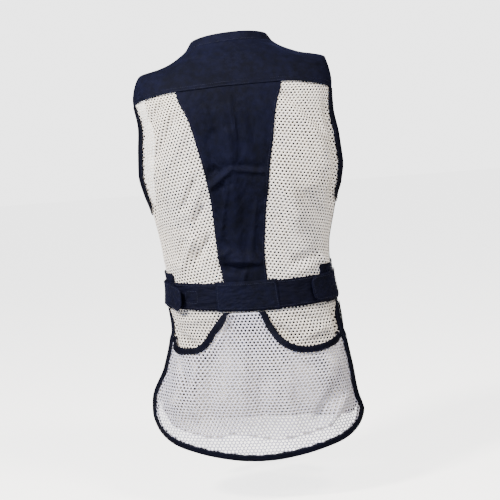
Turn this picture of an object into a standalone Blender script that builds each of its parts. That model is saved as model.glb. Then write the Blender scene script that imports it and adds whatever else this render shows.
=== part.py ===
"""Shooting vest, filled out and hollow: net body, navy yoke, belt, scooped rear pocket and front zip.

The garment is one smooth surface through level rings, from the hem up to the neck. A place on it is a turn
in degrees (0 at the centre back, 90 at the wearer's left side, 180 at the centre front) and a level. Each
piece is a patch of that surface between its seams, given a wall; what lies on a piece is made from the same
surface, moved out. +Z is up and the wearer faces -Y. Sizes are millimetres until a mesh is made.
"""
import math

import bmesh
import bpy
import numpy as np

METRES = 0.001

# Walls, tapes and the gaps between pieces
NET_WALL = 1.6
TWILL_WALL = 2.0
YOKE_WALL = 3.2
TAPE_WALL = 0.8
TAPE_WIDTH = 10.0
TAPE_CLEARANCE = 0.9
ARMHOLE_TAPE_SLACK = 0.2
FRONT_TAPE_SLACK = 0.5
SEAM_TUCK = 0.2
LAYER_GAP = 0.8

# The rings: heights at the back, side and front, half the width, the depths, how a ring rises, leans and
# sways, and how much slimmer its front is
RING_COLUMNS = ("level", "back", "side", "front", "half", "rear", "fore", "crown", "lean", "sway", "slim")
RINGS = (
    (-740, -740, -740, -740, 190, 114, 114, 2.0, 1.0, -6, 0.12),
    (-650, -650, -650, -650, 196, 112, 113, 2.0, 1.4, -1, 0.12),
    (-612, -612, -612, -612, 190, 110, 112, 2.0, 1.8, 3, 0.12),
    (-560, -560, -560, -560, 173, 106, 109, 2.0, 2.2, -6, 0.09),
    (-500, -500, -500, -500, 159, 100, 105, 2.0, 2.2, -9, 0.05),
    (-444, -444, -444, -444, 153, 95, 102, 2.0, 1.2, -3, 0.0),
    (-403, -403, -403, -403, 149, 92, 100, 2.0, 0.6, -1, 0.0),
    (-350, -350, -350, -350, 152, 93, 101, 2.0, 0.3, 3, 0.0),
    (-300, -300, -300, -300, 161, 99, 106, 2.0, 0.0, 1, 0.0),
    (-264, -264, -264, -264, 169, 105, 111, 2.0, 0.0, -1, 0.0),
    (-235, -235, -235, -238, 182, 110, 114, 2.0, 0.0, -3, 0.0),
    (-200, -200, -198, -208, 191, 114, 116, 2.0, 0.0, -3, 0.0),
    (-160, -160, -157, -178, 189, 117, 116, 2.5, -0.3, -3, 0.0),
    (-110, -112, -106, -140, 183, 118, 115, 3.0, -0.6, -1, 0.0),
    (-70, -78, -65, -116, 184, 114, 112, 4.0, -0.9, 2, 0.0),
    (-30, -46, -19, -104, 168, 105, 108, 4.5, -1.5, 2, 0.0),
    (-5, -8, -6, -94, 120, 87, 104, 3.0, -2.2, 2, 0.0),
    (20, 23, 16, -84, 80, 66, 99, 2.0, -2.8, 4, 0.0),
    (38, 41, 35, -70, 67, 58, 95, 2.0, -3.0, 4, 0.0),
)
SIDE_BLEND = (72.0, 30.0)
SQUARENESS = 2.4
NECK_FOOT = 20.0
NECK_BAND = {"top": 37.0, "inner": -0.4, "outer": 2.6}

# The largest soft folds: two ends across and up, height out of the cloth, half-width, back (1) or front (-1)
FOLD_COLUMNS = ("x0", "z0", "x1", "z1", "height", "width", "face")
FOLDS = (
    (12, -70, 4, -395, 4.0, 13, 1),
    (52, -215, 12, -195, -3.0, 10, 1),
    (12, -195, -46, -208, -3.0, 10, 1),
    (46, -352, -34, -362, 4.5, 10, 1),
    (44, -372, 2, -384, -3.5, 8, 1),
    (104, -92, 148, -160, 4.5, 16, 1),
    (76, -196, 112, -285, 4.5, 16, 1),
    (84, -315, 120, -370, 4.0, 14, 1),
    (-98, -88, -154, -152, 4.5, 16, 1),
    (-72, -215, -112, -300, 3.5, 18, 1),
    (30, -500, 44, -650, 4.0, 20, 1),
    (-34, -520, -52, -660, 4.0, 20, 1),
    (116, -560, 132, -640, 3.5, 18, 1),
    (-112, -560, -136, -650, 3.5, 18, 1),
    (60, -150, 96, -290, 4.0, 18, -1),
    (-64, -160, -92, -300, 4.0, 18, -1),
    (70, -350, 40, -420, 4.0, 16, -1),
    (-60, -340, -44, -430, 4.0, 16, -1),
    (84, -480, 98, -630, 4.0, 20, -1),
    (-88, -500, -96, -640, 4.0, 20, -1),
)

# Seams and edges, as a place across the back and its height
CENTRE_PANEL_EDGE = ((92, -60), (81, -95), (68, -150), (55, -217), (46, -290), (41, -360), (38, -440))
YOKE_SEAM = ((0, -57), (95, -58), (150, -65), (170, -70))
WAIST_SEAM = ((0, -428), (80, -426), (150, -420))
SCOOP_LEFT = (
    (0, -456), (44, -457), (55, -470), (68, -485), (86, -510), (100, -519), (124, -521), (146, -507),
    (158, -492),
)
SCOOP_RIGHT = (
    (0, -456), (27, -457), (33, -476), (46, -500), (68, -516), (90, -521), (112, -518), (136, -509),
    (158, -494),
)
TAIL_HEM = (
    (0, -717), (25, -716), (70, -710), (119, -699), (150, -689), (171, -675), (184, -657), (189, -632),
)
FRONT_HEM = ((90, -622), (96, -650), (104, -664), (116, -674), (145, -682), (180, -684))
INNER_HEM_RISE = 34.0

# The armhole, an oval between two levels, and the front yoke seam
ARMHOLE = {"bottom": -264.0, "top": -30.0, "turn": 90.0, "back": 21.0, "front": 30.0, "roundness": 2.5}
FRONT_CORNER = -84.0
FRONT_SEAM_TURNS = (123, 130)
YOKE_TIP_TURNS = (74, 78, 82, 86, 90, 94, 98, 103, 108, 112.5)
VENT_BACK = ((-722, 71), (-640, 72), (-560, 74), (-500, 77), (-455, 82), (-420, 90))
VENT_FRONT = ((-722, 88), (-640, 90), (-560, 91), (-500, 91.5), (-455, 91), (-430, 90))
VENT_TOP = -430.0
EDGE_TROUGH = {
    "armhole": 7.0, "vent": 2.5, "from_edge": 17.0, "width": 9.5, "fade": 60.0, "shoulder": -70.0,
    "belt": -468.0, "corner": -670.0, "side_turn": 82.0, "side_fade": 10.0,
}
FRONT_TAPE_TOP = -452.0

# Belt, its loop, the side anchors and the adjuster tabs; a rest is the gap to what lies beneath
BELT = {"height": 48.0, "wall": 1.8, "rest": 1.0, "over_anchor": 3.7, "step_turn": 48.0, "step": 6.0}
BELT_TURNS = (5, 10, 15, 20, 25, 31, 37, 43, 49, 55, 61, 66, 71, 76)
LOOP = {"half_width": 54.0, "height": 53.0, "wall": 1.4, "rest": 0.5}
LOOP_SHARES = (0, 0.035, 0.3, 0.7, 0.965, 1.0)
ANCHOR = {"from_turn": 58.0, "to_turn": 100.0, "top": 40.0, "bottom": -26.0, "wall": 1.6, "rest": 1.1}
TAB = {"height": 44.0, "wall": 1.8, "rest": 0.8, "round": 7.0}
TAB_LIFT = {"left": 7.0, "right": 0.8, "loose": 22.0}
TAB_DROP = {"left": 7.0, "right": 0.0, "loose": 26.0}
TAB_TURNS = (44, 44.7, 46, 48, 51, 56, 62, 68, 73, 77, 80, 86, 92, 98)
TAB_STEP = (77.0, 8.0)

# The rear pocket stands off the body: how far, and where that fades to the sides, the hem and the centre
POCKET_DEPTH = 14.0
POCKET = {"side": (0.55, 0.34), "hem": (18.0, 120.0), "centre": (0.08, 0.16), "centre_low": (-560.0, 90.0)}
TAIL_SHARES = {
    "left": (0.05, 0.10, 0.157, 0.208, 0.274, 0.368, 0.444, 0.52, 0.605, 0.69, 0.77, 0.84, 0.89, 0.95, 1.0),
    "right": (0.03, 0.06, 0.087, 0.11, 0.14, 0.17, 0.218, 0.271, 0.386, 0.52, 0.66, 0.79, 0.905, 0.955, 1.0),
}
TAIL_WRAP = (676.0, 30.0)
TAIL_TAPE_TOP = -450.0
MOUTH_CORNER_STEP = 8.0

# The zip: the chain stands between the fronts, the tape lies behind them
ZIP_COLUMNS = ("name", "reach", "inner", "outer", "start")
ZIP_PARTS = (("zip_chain", 2.8, -0.4, 2.2, -683), ("zip_tape", 14.0, -2.0, -0.8, -670))
FRONT_GAP = 4.0
ZIP_ABOVE_SLIDER = 4.0
SLIDER = {"level": 6.0, "width": 9.0, "length": 13.0, "plate": 1.4, "lift": 0.4}
BRIDGE = {"width": 2.4, "reach": 3.8, "post": 1.2, "opening": 3.0, "beam": 1.1}
PULL = {"width": 7.0, "length": 27.0, "rail": 1.2, "window": 3.6, "window_length": 7.5, "height": 1.5}

NAVY = (0.012, 0.013, 0.024)
NAVY_TAPE = (0.006, 0.007, 0.012)
NET = (0.70, 0.68, 0.66)
METAL = (0.35, 0.35, 0.36)


def trend(knots, values, at):
    """Read a smooth curve through a short table, straight beyond its ends."""
    knots = np.asarray(knots, float)
    values = np.asarray(values, float)
    steps = np.diff(knots)
    slopes = np.diff(values) / steps
    tangents = np.zeros(len(knots))
    tangents[0], tangents[-1] = slopes[0], slopes[-1]
    before, after = slopes[:-1], slopes[1:]
    steady = before * after > 0
    tangents[1:-1][steady] = 2 * before[steady] * after[steady] / (before[steady] + after[steady])
    inside = np.clip(at, knots[0], knots[-1])
    index = np.clip(np.searchsorted(knots, inside, side="right") - 1, 0, len(steps) - 1)
    step = steps[index]
    share = (inside - knots[index]) / step
    rise = share * share * (3 - 2 * share)
    curve = values[index] + (values[index + 1] - values[index]) * rise
    curve = curve + step * share * (1 - share) ** 2 * tangents[index]
    curve = curve - step * share ** 2 * (1 - share) * tangents[index + 1]
    beyond = np.asarray(at, float) - inside
    return curve + np.where(beyond < 0, tangents[0], tangents[-1]) * beyond


def ease(value):
    """Go from 0 to 1 with a soft start and end."""
    share = np.clip(value, 0, 1)
    return share * share * (3 - 2 * share)


def column(table, names, name):
    """Give one named column of a table."""
    index = names.index(name)
    return np.array([row[index] for row in table], float)


def ring(name, level):
    """Read one column of the ring table at a level."""
    return trend(column(RINGS, RING_COLUMNS, "level"), column(RINGS, RING_COLUMNS, name), level)


def body(turn, level):
    """Give the smooth surface at a turn and a level, before folds and lean."""
    turn, level = np.broadcast_arrays(np.asarray(turn, float), np.asarray(level, float))
    sine = np.sin(np.radians(turn))
    cosine = np.cos(np.radians(turn))
    is_back = cosine >= 0
    shape = 2 / SQUARENESS
    slim = ring("slim", level) * ease((np.abs(turn) - SIDE_BLEND[0]) / SIDE_BLEND[1])
    across = ring("half", level) * (1 - slim) * np.sign(sine) * np.abs(sine) ** shape
    depth = np.where(is_back, ring("rear", level), ring("fore", level))
    out = depth * np.sign(cosine) * np.abs(cosine) ** shape
    middle = np.where(is_back, ring("back", level), ring("front", level))
    up = middle + (ring("side", level) - middle) * np.abs(sine) ** ring("crown", level)
    return np.stack([across, out, up], axis=-1)


def slopes(turn, level):
    """Give the surface's change for one degree of turn and one millimetre of level."""
    by_turn = (body(turn + 0.5, level) - body(turn - 0.5, level))
    by_level = (body(turn, level + 1.5) - body(turn, level - 1.5)) / 3
    return by_turn, by_level


def outward(turn, level):
    """Give the unit normal that points out of the garment."""
    by_turn, by_level = slopes(turn, level)
    normal = np.cross(by_level, by_turn)
    return normal / np.linalg.norm(normal, axis=-1, keepdims=True)


def fold_height(spot, turn):
    """Add up the soft folds at a spot of the surface."""
    height = np.zeros(spot.shape[:-1])
    facing = np.cos(np.radians(turn))
    for row in FOLDS:
        fold = dict(zip(FOLD_COLUMNS, row))
        run = np.array([fold["x1"] - fold["x0"], fold["z1"] - fold["z0"]], float)
        length = np.hypot(*run)
        offset = np.stack([spot[..., 0] - fold["x0"], spot[..., 2] - fold["z0"]], axis=-1)
        along = offset @ run / length ** 2
        beside = (offset[..., 0] * run[1] - offset[..., 1] * run[0]) / length
        ends = ease((along + 0.15) / 0.35) * ease((1.15 - along) / 0.35)
        shown = ease(facing * fold["face"] * 3)
        height += fold["height"] * np.exp(-(beside / fold["width"]) ** 2) * ends * shown
    return height


def armhole_away(turn, level):
    """Give how far outside the armhole's oval a place is, as a share of its size."""
    away = np.abs(turn) - ARMHOLE["turn"]
    reach = np.where(away < 0, ARMHOLE["back"], ARMHOLE["front"])
    middle = (ARMHOLE["bottom"] + ARMHOLE["top"]) / 2
    half = (ARMHOLE["top"] - ARMHOLE["bottom"]) / 2
    power = ARMHOLE["roundness"]
    return (np.abs(away / reach) ** power + np.abs((level - middle) / half) ** power) ** (1 / power) - 1


def vent_back(level):
    """Give the turn of the tail's side edge."""
    return trend(*zip(*VENT_BACK), level)


def edge_distance(rule, turn, level):
    """Turn a rule of turn and level into millimetres of cloth from its edge."""
    value = rule(turn, level)
    across = np.linalg.norm(body(turn + 0.5, level) - body(turn - 0.5, level), axis=-1)
    by_turn = (rule(turn + 0.5, level) - value) * 2 / across
    by_level = rule(turn, level + 1.0) - value
    return value / np.maximum(np.hypot(by_turn, by_level), 1e-4)


def edge_trough(turn, level):
    """Give the trough behind the bound edges, where the tape draws the cloth in and its edge flares."""
    start, width = EDGE_TROUGH["from_edge"], EDGE_TROUGH["width"]
    armhole = edge_distance(armhole_away, turn, level)
    vent = edge_distance(lambda v, u: vent_back(u) - np.abs(v), turn, level)
    fade = EDGE_TROUGH["fade"]
    round_arm = np.exp(-((armhole - start) / width) ** 2) * ease((EDGE_TROUGH["shoulder"] - level) / fade)
    round_arm = round_arm * ease((EDGE_TROUGH["side_turn"] - np.abs(turn)) / EDGE_TROUGH["side_fade"])
    at_vent = np.exp(-((vent - start) / width) ** 2) * ease((EDGE_TROUGH["belt"] - level) / fade)
    at_vent = at_vent * ease((level - EDGE_TROUGH["corner"]) / fade)
    return EDGE_TROUGH["armhole"] * round_arm + EDGE_TROUGH["vent"] * at_vent


def place(turn, level, out=0.0):
    """Give a point of the worn cloth, moved out from the inner face."""
    turn, level = np.broadcast_arrays(np.asarray(turn, float), np.asarray(level, float))
    spot = body(turn, level)
    height = np.asarray(out, float) + fold_height(spot, turn) - edge_trough(turn, level)
    spot = spot + outward(turn, level) * height[..., None]
    spot[..., 2] += spot[..., 0] * np.tan(np.radians(ring("lean", level)))
    spot[..., 0] += ring("sway", level)
    return spot


def turn_at(across, level):
    """Give the turn on the back where the surface is so far from the centre line."""
    share = np.clip(np.abs(across) / ring("half", level), 0, 1)
    return np.degrees(np.arcsin(share ** (SQUARENESS / 2))) * np.sign(across)


def seam_points(table):
    """Turn places across and up the back into turns and levels."""
    turns, levels = [], []
    for across, height in table:
        level = float(height)
        for _ in range(12):
            turn = turn_at(across, level)
            level += (height - body(turn, level)[2]) * 0.8
        turns.append(float(turn))
        levels.append(level)
    return np.array(turns), np.array(levels)


def level_along(table):
    """Make a seam that gives a level for each turn, the same on both sides."""
    turns, levels = seam_points(table)
    return lambda turn: trend(turns, levels, np.abs(turn))


def turn_along(table):
    """Make an edge that gives a turn for each level."""
    turns, levels = seam_points(table)
    order = np.argsort(levels)
    return lambda level: trend(levels[order], turns[order], level)


def armhole_turn(level, side):
    """Give the turn of the armhole's back or front edge at a level."""
    middle = (ARMHOLE["bottom"] + ARMHOLE["top"]) / 2
    half = (ARMHOLE["top"] - ARMHOLE["bottom"]) / 2
    share = np.clip(np.abs(level - middle) / half, 0, 1)
    opening = (1 - share ** ARMHOLE["roundness"]) ** (1 / ARMHOLE["roundness"])
    sign = -1 if side == "back" else 1
    return ARMHOLE["turn"] + sign * ARMHOLE[side] * opening


def armhole_top(turn):
    """Give the level of the armhole's upper edge at a turn."""
    away = turn - ARMHOLE["turn"]
    reach = np.where(away < 0, ARMHOLE["back"], ARMHOLE["front"])
    share = np.clip(np.abs(away) / reach, 0, 1)
    middle = (ARMHOLE["bottom"] + ARMHOLE["top"]) / 2
    half = (ARMHOLE["top"] - ARMHOLE["bottom"]) / 2
    return middle + half * (1 - share ** ARMHOLE["roundness"]) ** (1 / ARMHOLE["roundness"])


centre_edge = turn_along(CENTRE_PANEL_EDGE)
yoke_seam = level_along(YOKE_SEAM)
waist_seam = level_along(WAIST_SEAM)
scoop_left = level_along(SCOOP_LEFT)
scoop_right = level_along(SCOOP_RIGHT)
tail_hem = level_along(TAIL_HEM)


def scoop_edge(turn):
    """Give the level of the rear pocket's upper edge, which hangs unlike on the two sides."""
    return np.where(turn > 0, scoop_left(turn), scoop_right(turn))


def back_side(level):
    """Give the outer edge of the back: the armhole, then the side seam."""
    above = level > ARMHOLE["bottom"]
    return np.where(above, armhole_turn(level, "back"), ARMHOLE["turn"])


def front_seam(level):
    """Give the turn of the yoke's front seam, from the armhole in to the neckline."""
    levels = (FRONT_CORNER, (FRONT_CORNER + NECK_FOOT) / 2, NECK_FOOT)
    return trend(levels, (float(armhole_turn(FRONT_CORNER, "front")), *FRONT_SEAM_TURNS), level)


def front_side(level):
    """Give the outer edge of a front: the vent, the side seam, the armhole, then the yoke's seam."""
    vent = trend(*zip(*VENT_FRONT), level)
    edge = np.where(level > ARMHOLE["bottom"], armhole_turn(level, "front"), ARMHOLE["turn"])
    edge = np.where(level > FRONT_CORNER, front_seam(level), edge)
    return np.where(level < VENT_TOP, vent, edge)


def neck_foot(turn):
    """Give the level of the neck band's seam."""
    return np.full_like(turn, NECK_FOOT)


def front_hem(turn):
    """Give the level of a front's hem."""
    return trend(*zip(*FRONT_HEM), turn)


def zip_edge(level, reach):
    """Give the turn where a front ends, a few millimetres from its centre line."""
    return 180 - turn_at(reach, level)


def halve(excess, shape):
    """Find the level where a falling function of it passes zero, for a whole array at once."""
    low = np.full(shape, RINGS[0][0] - 20.0)
    high = np.full(shape, RINGS[-1][0] + 20.0)
    for _ in range(44):
        middle = (low + high) / 2
        is_above = excess(middle) < 0
        high = np.where(is_above, middle, high)
        low = np.where(is_above, low, middle)
    return (low + high) / 2


def patch(left, right, bottom, top, across, up):
    """Spread a lattice of turns and levels between two side edges, a bottom and a top."""
    across = np.asarray(across, float)[None, :]
    up = np.asarray(up, float)[:, None]

    def turn_of(level):
        return left(level) + across * (right(level) - left(level))

    def excess(level):
        turn = turn_of(level)
        low, high = bottom(turn), top(turn)
        return low + up * (high - low) - level

    level = halve(excess, (up.size, across.size))
    return turn_of(level), level


def rows_at(side, bottom, top, levels):
    """Turn levels along a side edge into shares of the way from its bottom to its top."""
    levels = np.asarray(levels, float)
    low, high = bottom(side(levels)), top(side(levels))
    return np.concatenate([[0.0], (levels - low) / (high - low), [1.0]])


def finish(name, colour, roughness, metallic=0.0):
    """Make one plain material."""
    material = bpy.data.materials.new(name)
    material.use_nodes = True
    shader = material.node_tree.nodes["Principled BSDF"]
    shader.inputs["Base Color"].default_value = (*colour, 1.0)
    shader.inputs["Roughness"].default_value = roughness
    shader.inputs["Metallic"].default_value = metallic
    return material


def add_object(name, mesh_data, colour, roughness=0.9, metallic=0.0):
    """Put a closed mesh in the scene, in triangles, faces out, shaded smooth."""
    mesh = bpy.data.meshes.new(name)
    bmesh.ops.triangulate(mesh_data, faces=mesh_data.faces)
    bmesh.ops.recalc_face_normals(mesh_data, faces=mesh_data.faces)
    mesh_data.to_mesh(mesh)
    mesh_data.free()
    mesh.shade_smooth()
    mesh.set_sharp_from_angle(angle=math.radians(40))
    mesh.materials.append(finish(name, colour, roughness, metallic))
    item = bpy.data.objects.new(name, mesh)
    bpy.context.scene.collection.objects.link(item)
    return item


def shell(name, inner, outer, colour, roughness=0.9):
    """Close two lattices of points into one wall."""
    rows, columns = inner.shape[:2]
    mesh_data = bmesh.new()
    sides = []
    for points in (inner, outer):
        side = [[mesh_data.verts.new(points[r, c] * METRES) for c in range(columns)] for r in range(rows)]
        sides.append(side)
    for side in sides:
        for r in range(rows - 1):
            for c in range(columns - 1):
                mesh_data.faces.new((side[r][c], side[r + 1][c], side[r + 1][c + 1], side[r][c + 1]))
    border = [(0, c) for c in range(columns)]
    border += [(r, columns - 1) for r in range(1, rows)]
    border += [(rows - 1, c) for c in range(columns - 2, -1, -1)]
    border += [(r, 0) for r in range(rows - 2, 0, -1)]
    for (r0, c0), (r1, c1) in zip(border, border[1:] + border[:1]):
        low, high = sides
        mesh_data.faces.new((low[r0][c0], low[r1][c1], high[r1][c1], high[r0][c0]))
    return add_object(name, mesh_data, colour, roughness)


def tuck(points, distance=SEAM_TUCK):
    """Draw the four edges of a lattice in, which leaves the gap at a seam."""
    drawn = points.copy()
    for edge, inside in ((np.s_[0], np.s_[1]), (np.s_[-1], np.s_[-2])):
        way = points[inside] - points[edge]
        drawn[edge] += way / np.linalg.norm(way, axis=-1, keepdims=True) * distance
    for edge, inside in ((np.s_[:, 0], np.s_[:, 1]), (np.s_[:, -1], np.s_[:, -2])):
        way = points[inside] - points[edge]
        drawn[edge] += way / np.linalg.norm(way, axis=-1, keepdims=True) * distance
    return drawn


def panel(name, lattice, low, high, colour, roughness=0.9):
    """Make a piece of cloth from a lattice, between two distances out of the body."""
    turn, level = lattice
    shell(name, tuck(place(turn, level, low)), tuck(place(turn, level, high)), colour, roughness)


def inward_step(turn, level, side):
    """Give the change in turn and level for one millimetre into the cloth from its edge."""
    path = body(turn, level)
    tangent = np.gradient(path, axis=0)
    way = np.cross(tangent, outward(turn, level)) * side
    way /= np.linalg.norm(way, axis=-1, keepdims=True)
    by_turn, by_level = slopes(turn, level)
    pairs = ((by_turn, by_turn), (by_turn, by_level), (by_level, by_level))
    e, f, g = (np.sum(a * b, axis=-1) for a, b in pairs)
    p, q = np.sum(way * by_turn, axis=-1), np.sum(way * by_level, axis=-1)
    size = e * g - f * f
    return (p * g - q * f) / size, (q * e - p * f) / size


def tape(name, turn, level, side, low, high, wraps=True):
    """Fold a tape over an edge: down the outside, round the edge and, where it wraps, up the inside."""
    by_turn, by_level = inward_step(turn, level, side)
    low = np.broadcast_to(low, turn.shape)
    high = np.broadcast_to(high, turn.shape)
    near, far = high + TAPE_CLEARANCE, high + TAPE_CLEARANCE + TAPE_WALL
    under, deep = low - TAPE_CLEARANCE, low - TAPE_CLEARANCE - TAPE_WALL
    rim, face = -TAPE_CLEARANCE, -TAPE_CLEARANCE - TAPE_WALL
    if wraps:
        rows = (
            ((TAPE_WIDTH, near), (TAPE_WIDTH, far)),
            ((rim, near), (face, far)),
            ((rim, under), (face, deep)),
            ((TAPE_WIDTH, under), (TAPE_WIDTH, deep)),
        )
    else:
        rows = (
            ((TAPE_WIDTH, near), (TAPE_WIDTH, far)),
            ((rim, near), (face, far)),
            ((rim, low), (face, low)),
        )
    inner = np.stack([place(turn + by_turn * a, level + by_level * a, b) for (a, b), _ in rows])
    outer = np.stack([place(turn + by_turn * a, level + by_level * a, b) for _, (a, b) in rows])
    shell(name, inner, outer, NAVY_TAPE, 0.8)


def spread(first, last, count):
    """Give evenly spaced values, ends included."""
    return np.linspace(first, last, count)


def mirrored(lattice):
    """Turn a lattice of the wearer's left into one of the right."""
    turn, level = lattice
    return -turn[:, ::-1], level[:, ::-1]


# Shared rows: up the back from the waist seam, closer together round the foot of the armhole
SIDE_LEVELS = (
    -398, -370, -342, -315, -292, -275, -264, -263, -260, -253, -241, -224, -203, -180, -155, -130,
)
BACK_LEVELS = SIDE_LEVELS + (-98,)
YOKE_ROWS = 7
CENTRE_COLUMNS = spread(-1, 1, 9)
SIDE_COLUMNS = np.array([0, 0.10, 0.22, 0.36, 0.50, 0.64, 0.76, 0.86, 0.93, 1.0])


def make_back():
    """Make the centre panel and the two net panels beside it, from the waist seam to the yoke."""
    rows = rows_at(back_side, waist_seam, yoke_seam, BACK_LEVELS)
    columns = (CENTRE_COLUMNS + 1) / 2
    centre = patch(lambda v: -centre_edge(v), centre_edge, waist_seam, yoke_seam, columns, rows)
    panel("centre_back", centre, 0, TWILL_WALL, NAVY)
    net = patch(centre_edge, back_side, waist_seam, yoke_seam, SIDE_COLUMNS, rows)
    panel("mesh_back_left", net, 0, NET_WALL, NET)
    panel("mesh_back_right", mirrored(net), 0, NET_WALL, NET)
    return centre, net


def make_yoke(centre, net):
    """Make the yoke from the back seam over the shoulders to its front seams."""
    corner = net[0][-1, -1]
    end = float(front_seam(FRONT_CORNER))
    tip = np.array([*YOKE_TIP_TURNS, end])
    half = np.concatenate([centre[0][-1, 5:], net[0][-1, 1:], tip[tip > corner + 1]])
    turns = np.concatenate([-half[::-1], [0.0], half])

    def outer_edge(turn):
        size = np.abs(turn)
        over = np.where(size < end, armhole_top(np.clip(size, corner, end)), FRONT_CORNER)
        return np.where(size <= corner, yoke_seam(size), over)

    reach = front_seam(outer_edge(turns))
    across = (turns + reach) / (2 * reach)
    lattice = patch(lambda v: -front_seam(v), front_seam, outer_edge,
                    neck_foot, across, spread(0, 1, YOKE_ROWS))
    lattice[0][0] = turns
    lattice[1][0] = outer_edge(turns)
    panel("yoke", lattice, 0, YOKE_WALL, NAVY)
    return lattice


def make_front():
    """Make the two plain fronts, from the yoke and the neckline to the hem."""
    levels = (-598, -566, -532, -500, -466, -431, -429) + SIDE_LEVELS + (-107,)
    levels += tuple(spread(FRONT_CORNER, NECK_FOOT, YOKE_ROWS)[:-1])
    rows = rows_at(front_side, front_hem, neck_foot, levels)
    columns = np.array([0, 0.045, 0.10, 0.17, 0.27, 0.39, 0.52, 0.66, 0.80, 0.92, 1.0])
    lattice = patch(front_side, lambda v: zip_edge(v, FRONT_GAP), front_hem, neck_foot, columns, rows)
    panel("front_left", lattice, 0, TWILL_WALL, NAVY)
    panel("front_right", mirrored(lattice), 0, TWILL_WALL, NAVY)
    return lattice


def make_neck_band(yoke):
    """Make the narrow band that stands round the neckline."""
    half = np.concatenate([yoke[0][-1][yoke[0][-1] > 0.01], spread(134, 174, 6)])
    turns = np.concatenate([-half[::-1], [0.0], half])
    end = zip_edge(NECK_FOOT, FRONT_GAP)
    turns = np.concatenate([[-end], turns, [end]])
    level = spread(NECK_FOOT, NECK_BAND["top"], 3)[:, None] * np.ones((1, turns.size))
    lattice = (turns[None, :] * np.ones((3, 1)), level)
    panel("neck_band", lattice, NECK_BAND["inner"], NECK_BAND["outer"], NAVY)


def faded(value, name):
    """Go from 0 to 1 over one named stretch of the pocket table."""
    start, length = POCKET[name]
    return ease((value - start) / length)


def pocket_gap(turn, level):
    """Give how far the pocket panel stands off the body layer."""
    share = np.abs(turn) / vent_back(level)
    sides = 1 - faded(share, "side")
    bottom = faded(level - tail_hem(turn), "hem")
    join = (1 - faded(share, "centre")) * faded(level, "centre_low")
    return LAYER_GAP + POCKET_DEPTH * sides * bottom * (1 - join)


def make_tail():
    """Make the lower back: the body layer, and the rear-pocket panel over it."""
    columns = (np.concatenate([-np.array(TAIL_SHARES["right"])[::-1], [0.0], TAIL_SHARES["left"]]) + 1) / 2
    inner = patch(lambda v: -vent_back(v), vent_back, lambda u: tail_hem(u) + INNER_HEM_RISE, waist_seam,
                  columns, spread(0, 1, 10))
    panel("skirt_inner", inner, 0, NET_WALL, NET)
    outer = patch(lambda v: -vent_back(v), vent_back, tail_hem, scoop_edge, columns, spread(0, 1, 11))
    low = NET_WALL + pocket_gap(*outer)
    panel("skirt_outer", outer, low, low + NET_WALL, NET)
    return outer, low


def make_tail_tapes(outer, low):
    """Bind the two scooped mouths, and the vents and hem in one run that starts just below the belt."""
    turn, level = outer
    high = low + NET_WALL
    middle = turn.shape[1] // 2
    left = slice(middle + 3, -2)
    right = slice(2, middle - 2)
    tape("scoop_binding_left", turn[-1, left], level[-1, left], -1, low[-1, left], high[-1, left],
         wraps=False)
    tape("scoop_binding_right", turn[-1, right], level[-1, right], -1, low[-1, right], high[-1, right],
         wraps=False)

    rise = spread(TAIL_TAPE_TOP, level[-1, -1] + MOUTH_CORNER_STEP, 4)
    body_layer = np.zeros_like(rise)

    def run(values, before, after):
        return np.concatenate([before, values[::-1, -1], values[0, -2:0:-1], values[:, 0], after[::-1]])

    path_turn = run(turn, vent_back(rise), -vent_back(rise))
    path_level = run(level, rise, rise)
    wraps_both = ease((path_level + TAIL_WRAP[0]) / TAIL_WRAP[1])
    under = run(low, body_layer, body_layer) * (1 - wraps_both)
    over = run(high, body_layer + NET_WALL, body_layer + NET_WALL)
    tape("tail_binding", path_turn, path_level, -1, under, over)


def make_armhole_tapes(net, front):
    """Bind each armhole below the yoke, from the back seam round to the front seam."""
    net_turn, net_level = net[0][:, -1], net[1][:, -1]
    front_turn, front_level = front[0][:, 0], front[1][:, 0]
    back_run = net_level > ARMHOLE["bottom"] - 0.5
    front_run = (front_level > ARMHOLE["bottom"] + 0.5) & (front_level < FRONT_CORNER + 1)
    turn = np.concatenate([net_turn[back_run][::-1], front_turn[front_run]])
    level = np.concatenate([net_level[back_run][::-1], front_level[front_run]])
    tape("armhole_binding_left", turn[:-1], level[:-1], -1, -ARMHOLE_TAPE_SLACK, TWILL_WALL)
    tape("armhole_binding_right", -turn[:-1], level[:-1], 1, -ARMHOLE_TAPE_SLACK, TWILL_WALL)


def make_front_tapes(front):
    """Bind each front's vent and hem."""
    turn, level = front
    below = int(np.argmax(level[:, 0] > FRONT_TAPE_TOP))
    path_turn = np.concatenate([turn[:below, 0][::-1], turn[0, 1:]])
    path_level = np.concatenate([level[:below, 0][::-1], level[0, 1:]])
    low, high = -FRONT_TAPE_SLACK, TWILL_WALL + FRONT_TAPE_SLACK
    tape("front_binding_left", path_turn, path_level, 1, low, high)
    tape("front_binding_right", -path_turn, path_level, -1, low, high)


def belt_middle(turn):
    """Give the level of the belt's middle line."""
    return waist_seam(turn) + 1.0


def band(turns, bottom, top, rows):
    """Make a lattice between two heights above the belt's middle line."""
    share = spread(0, 1, rows)[:, None]
    low = belt_middle(turns) + bottom
    high = belt_middle(turns) + top
    return np.ones((rows, 1)) * turns[None, :], low + share * (high - low)


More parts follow.
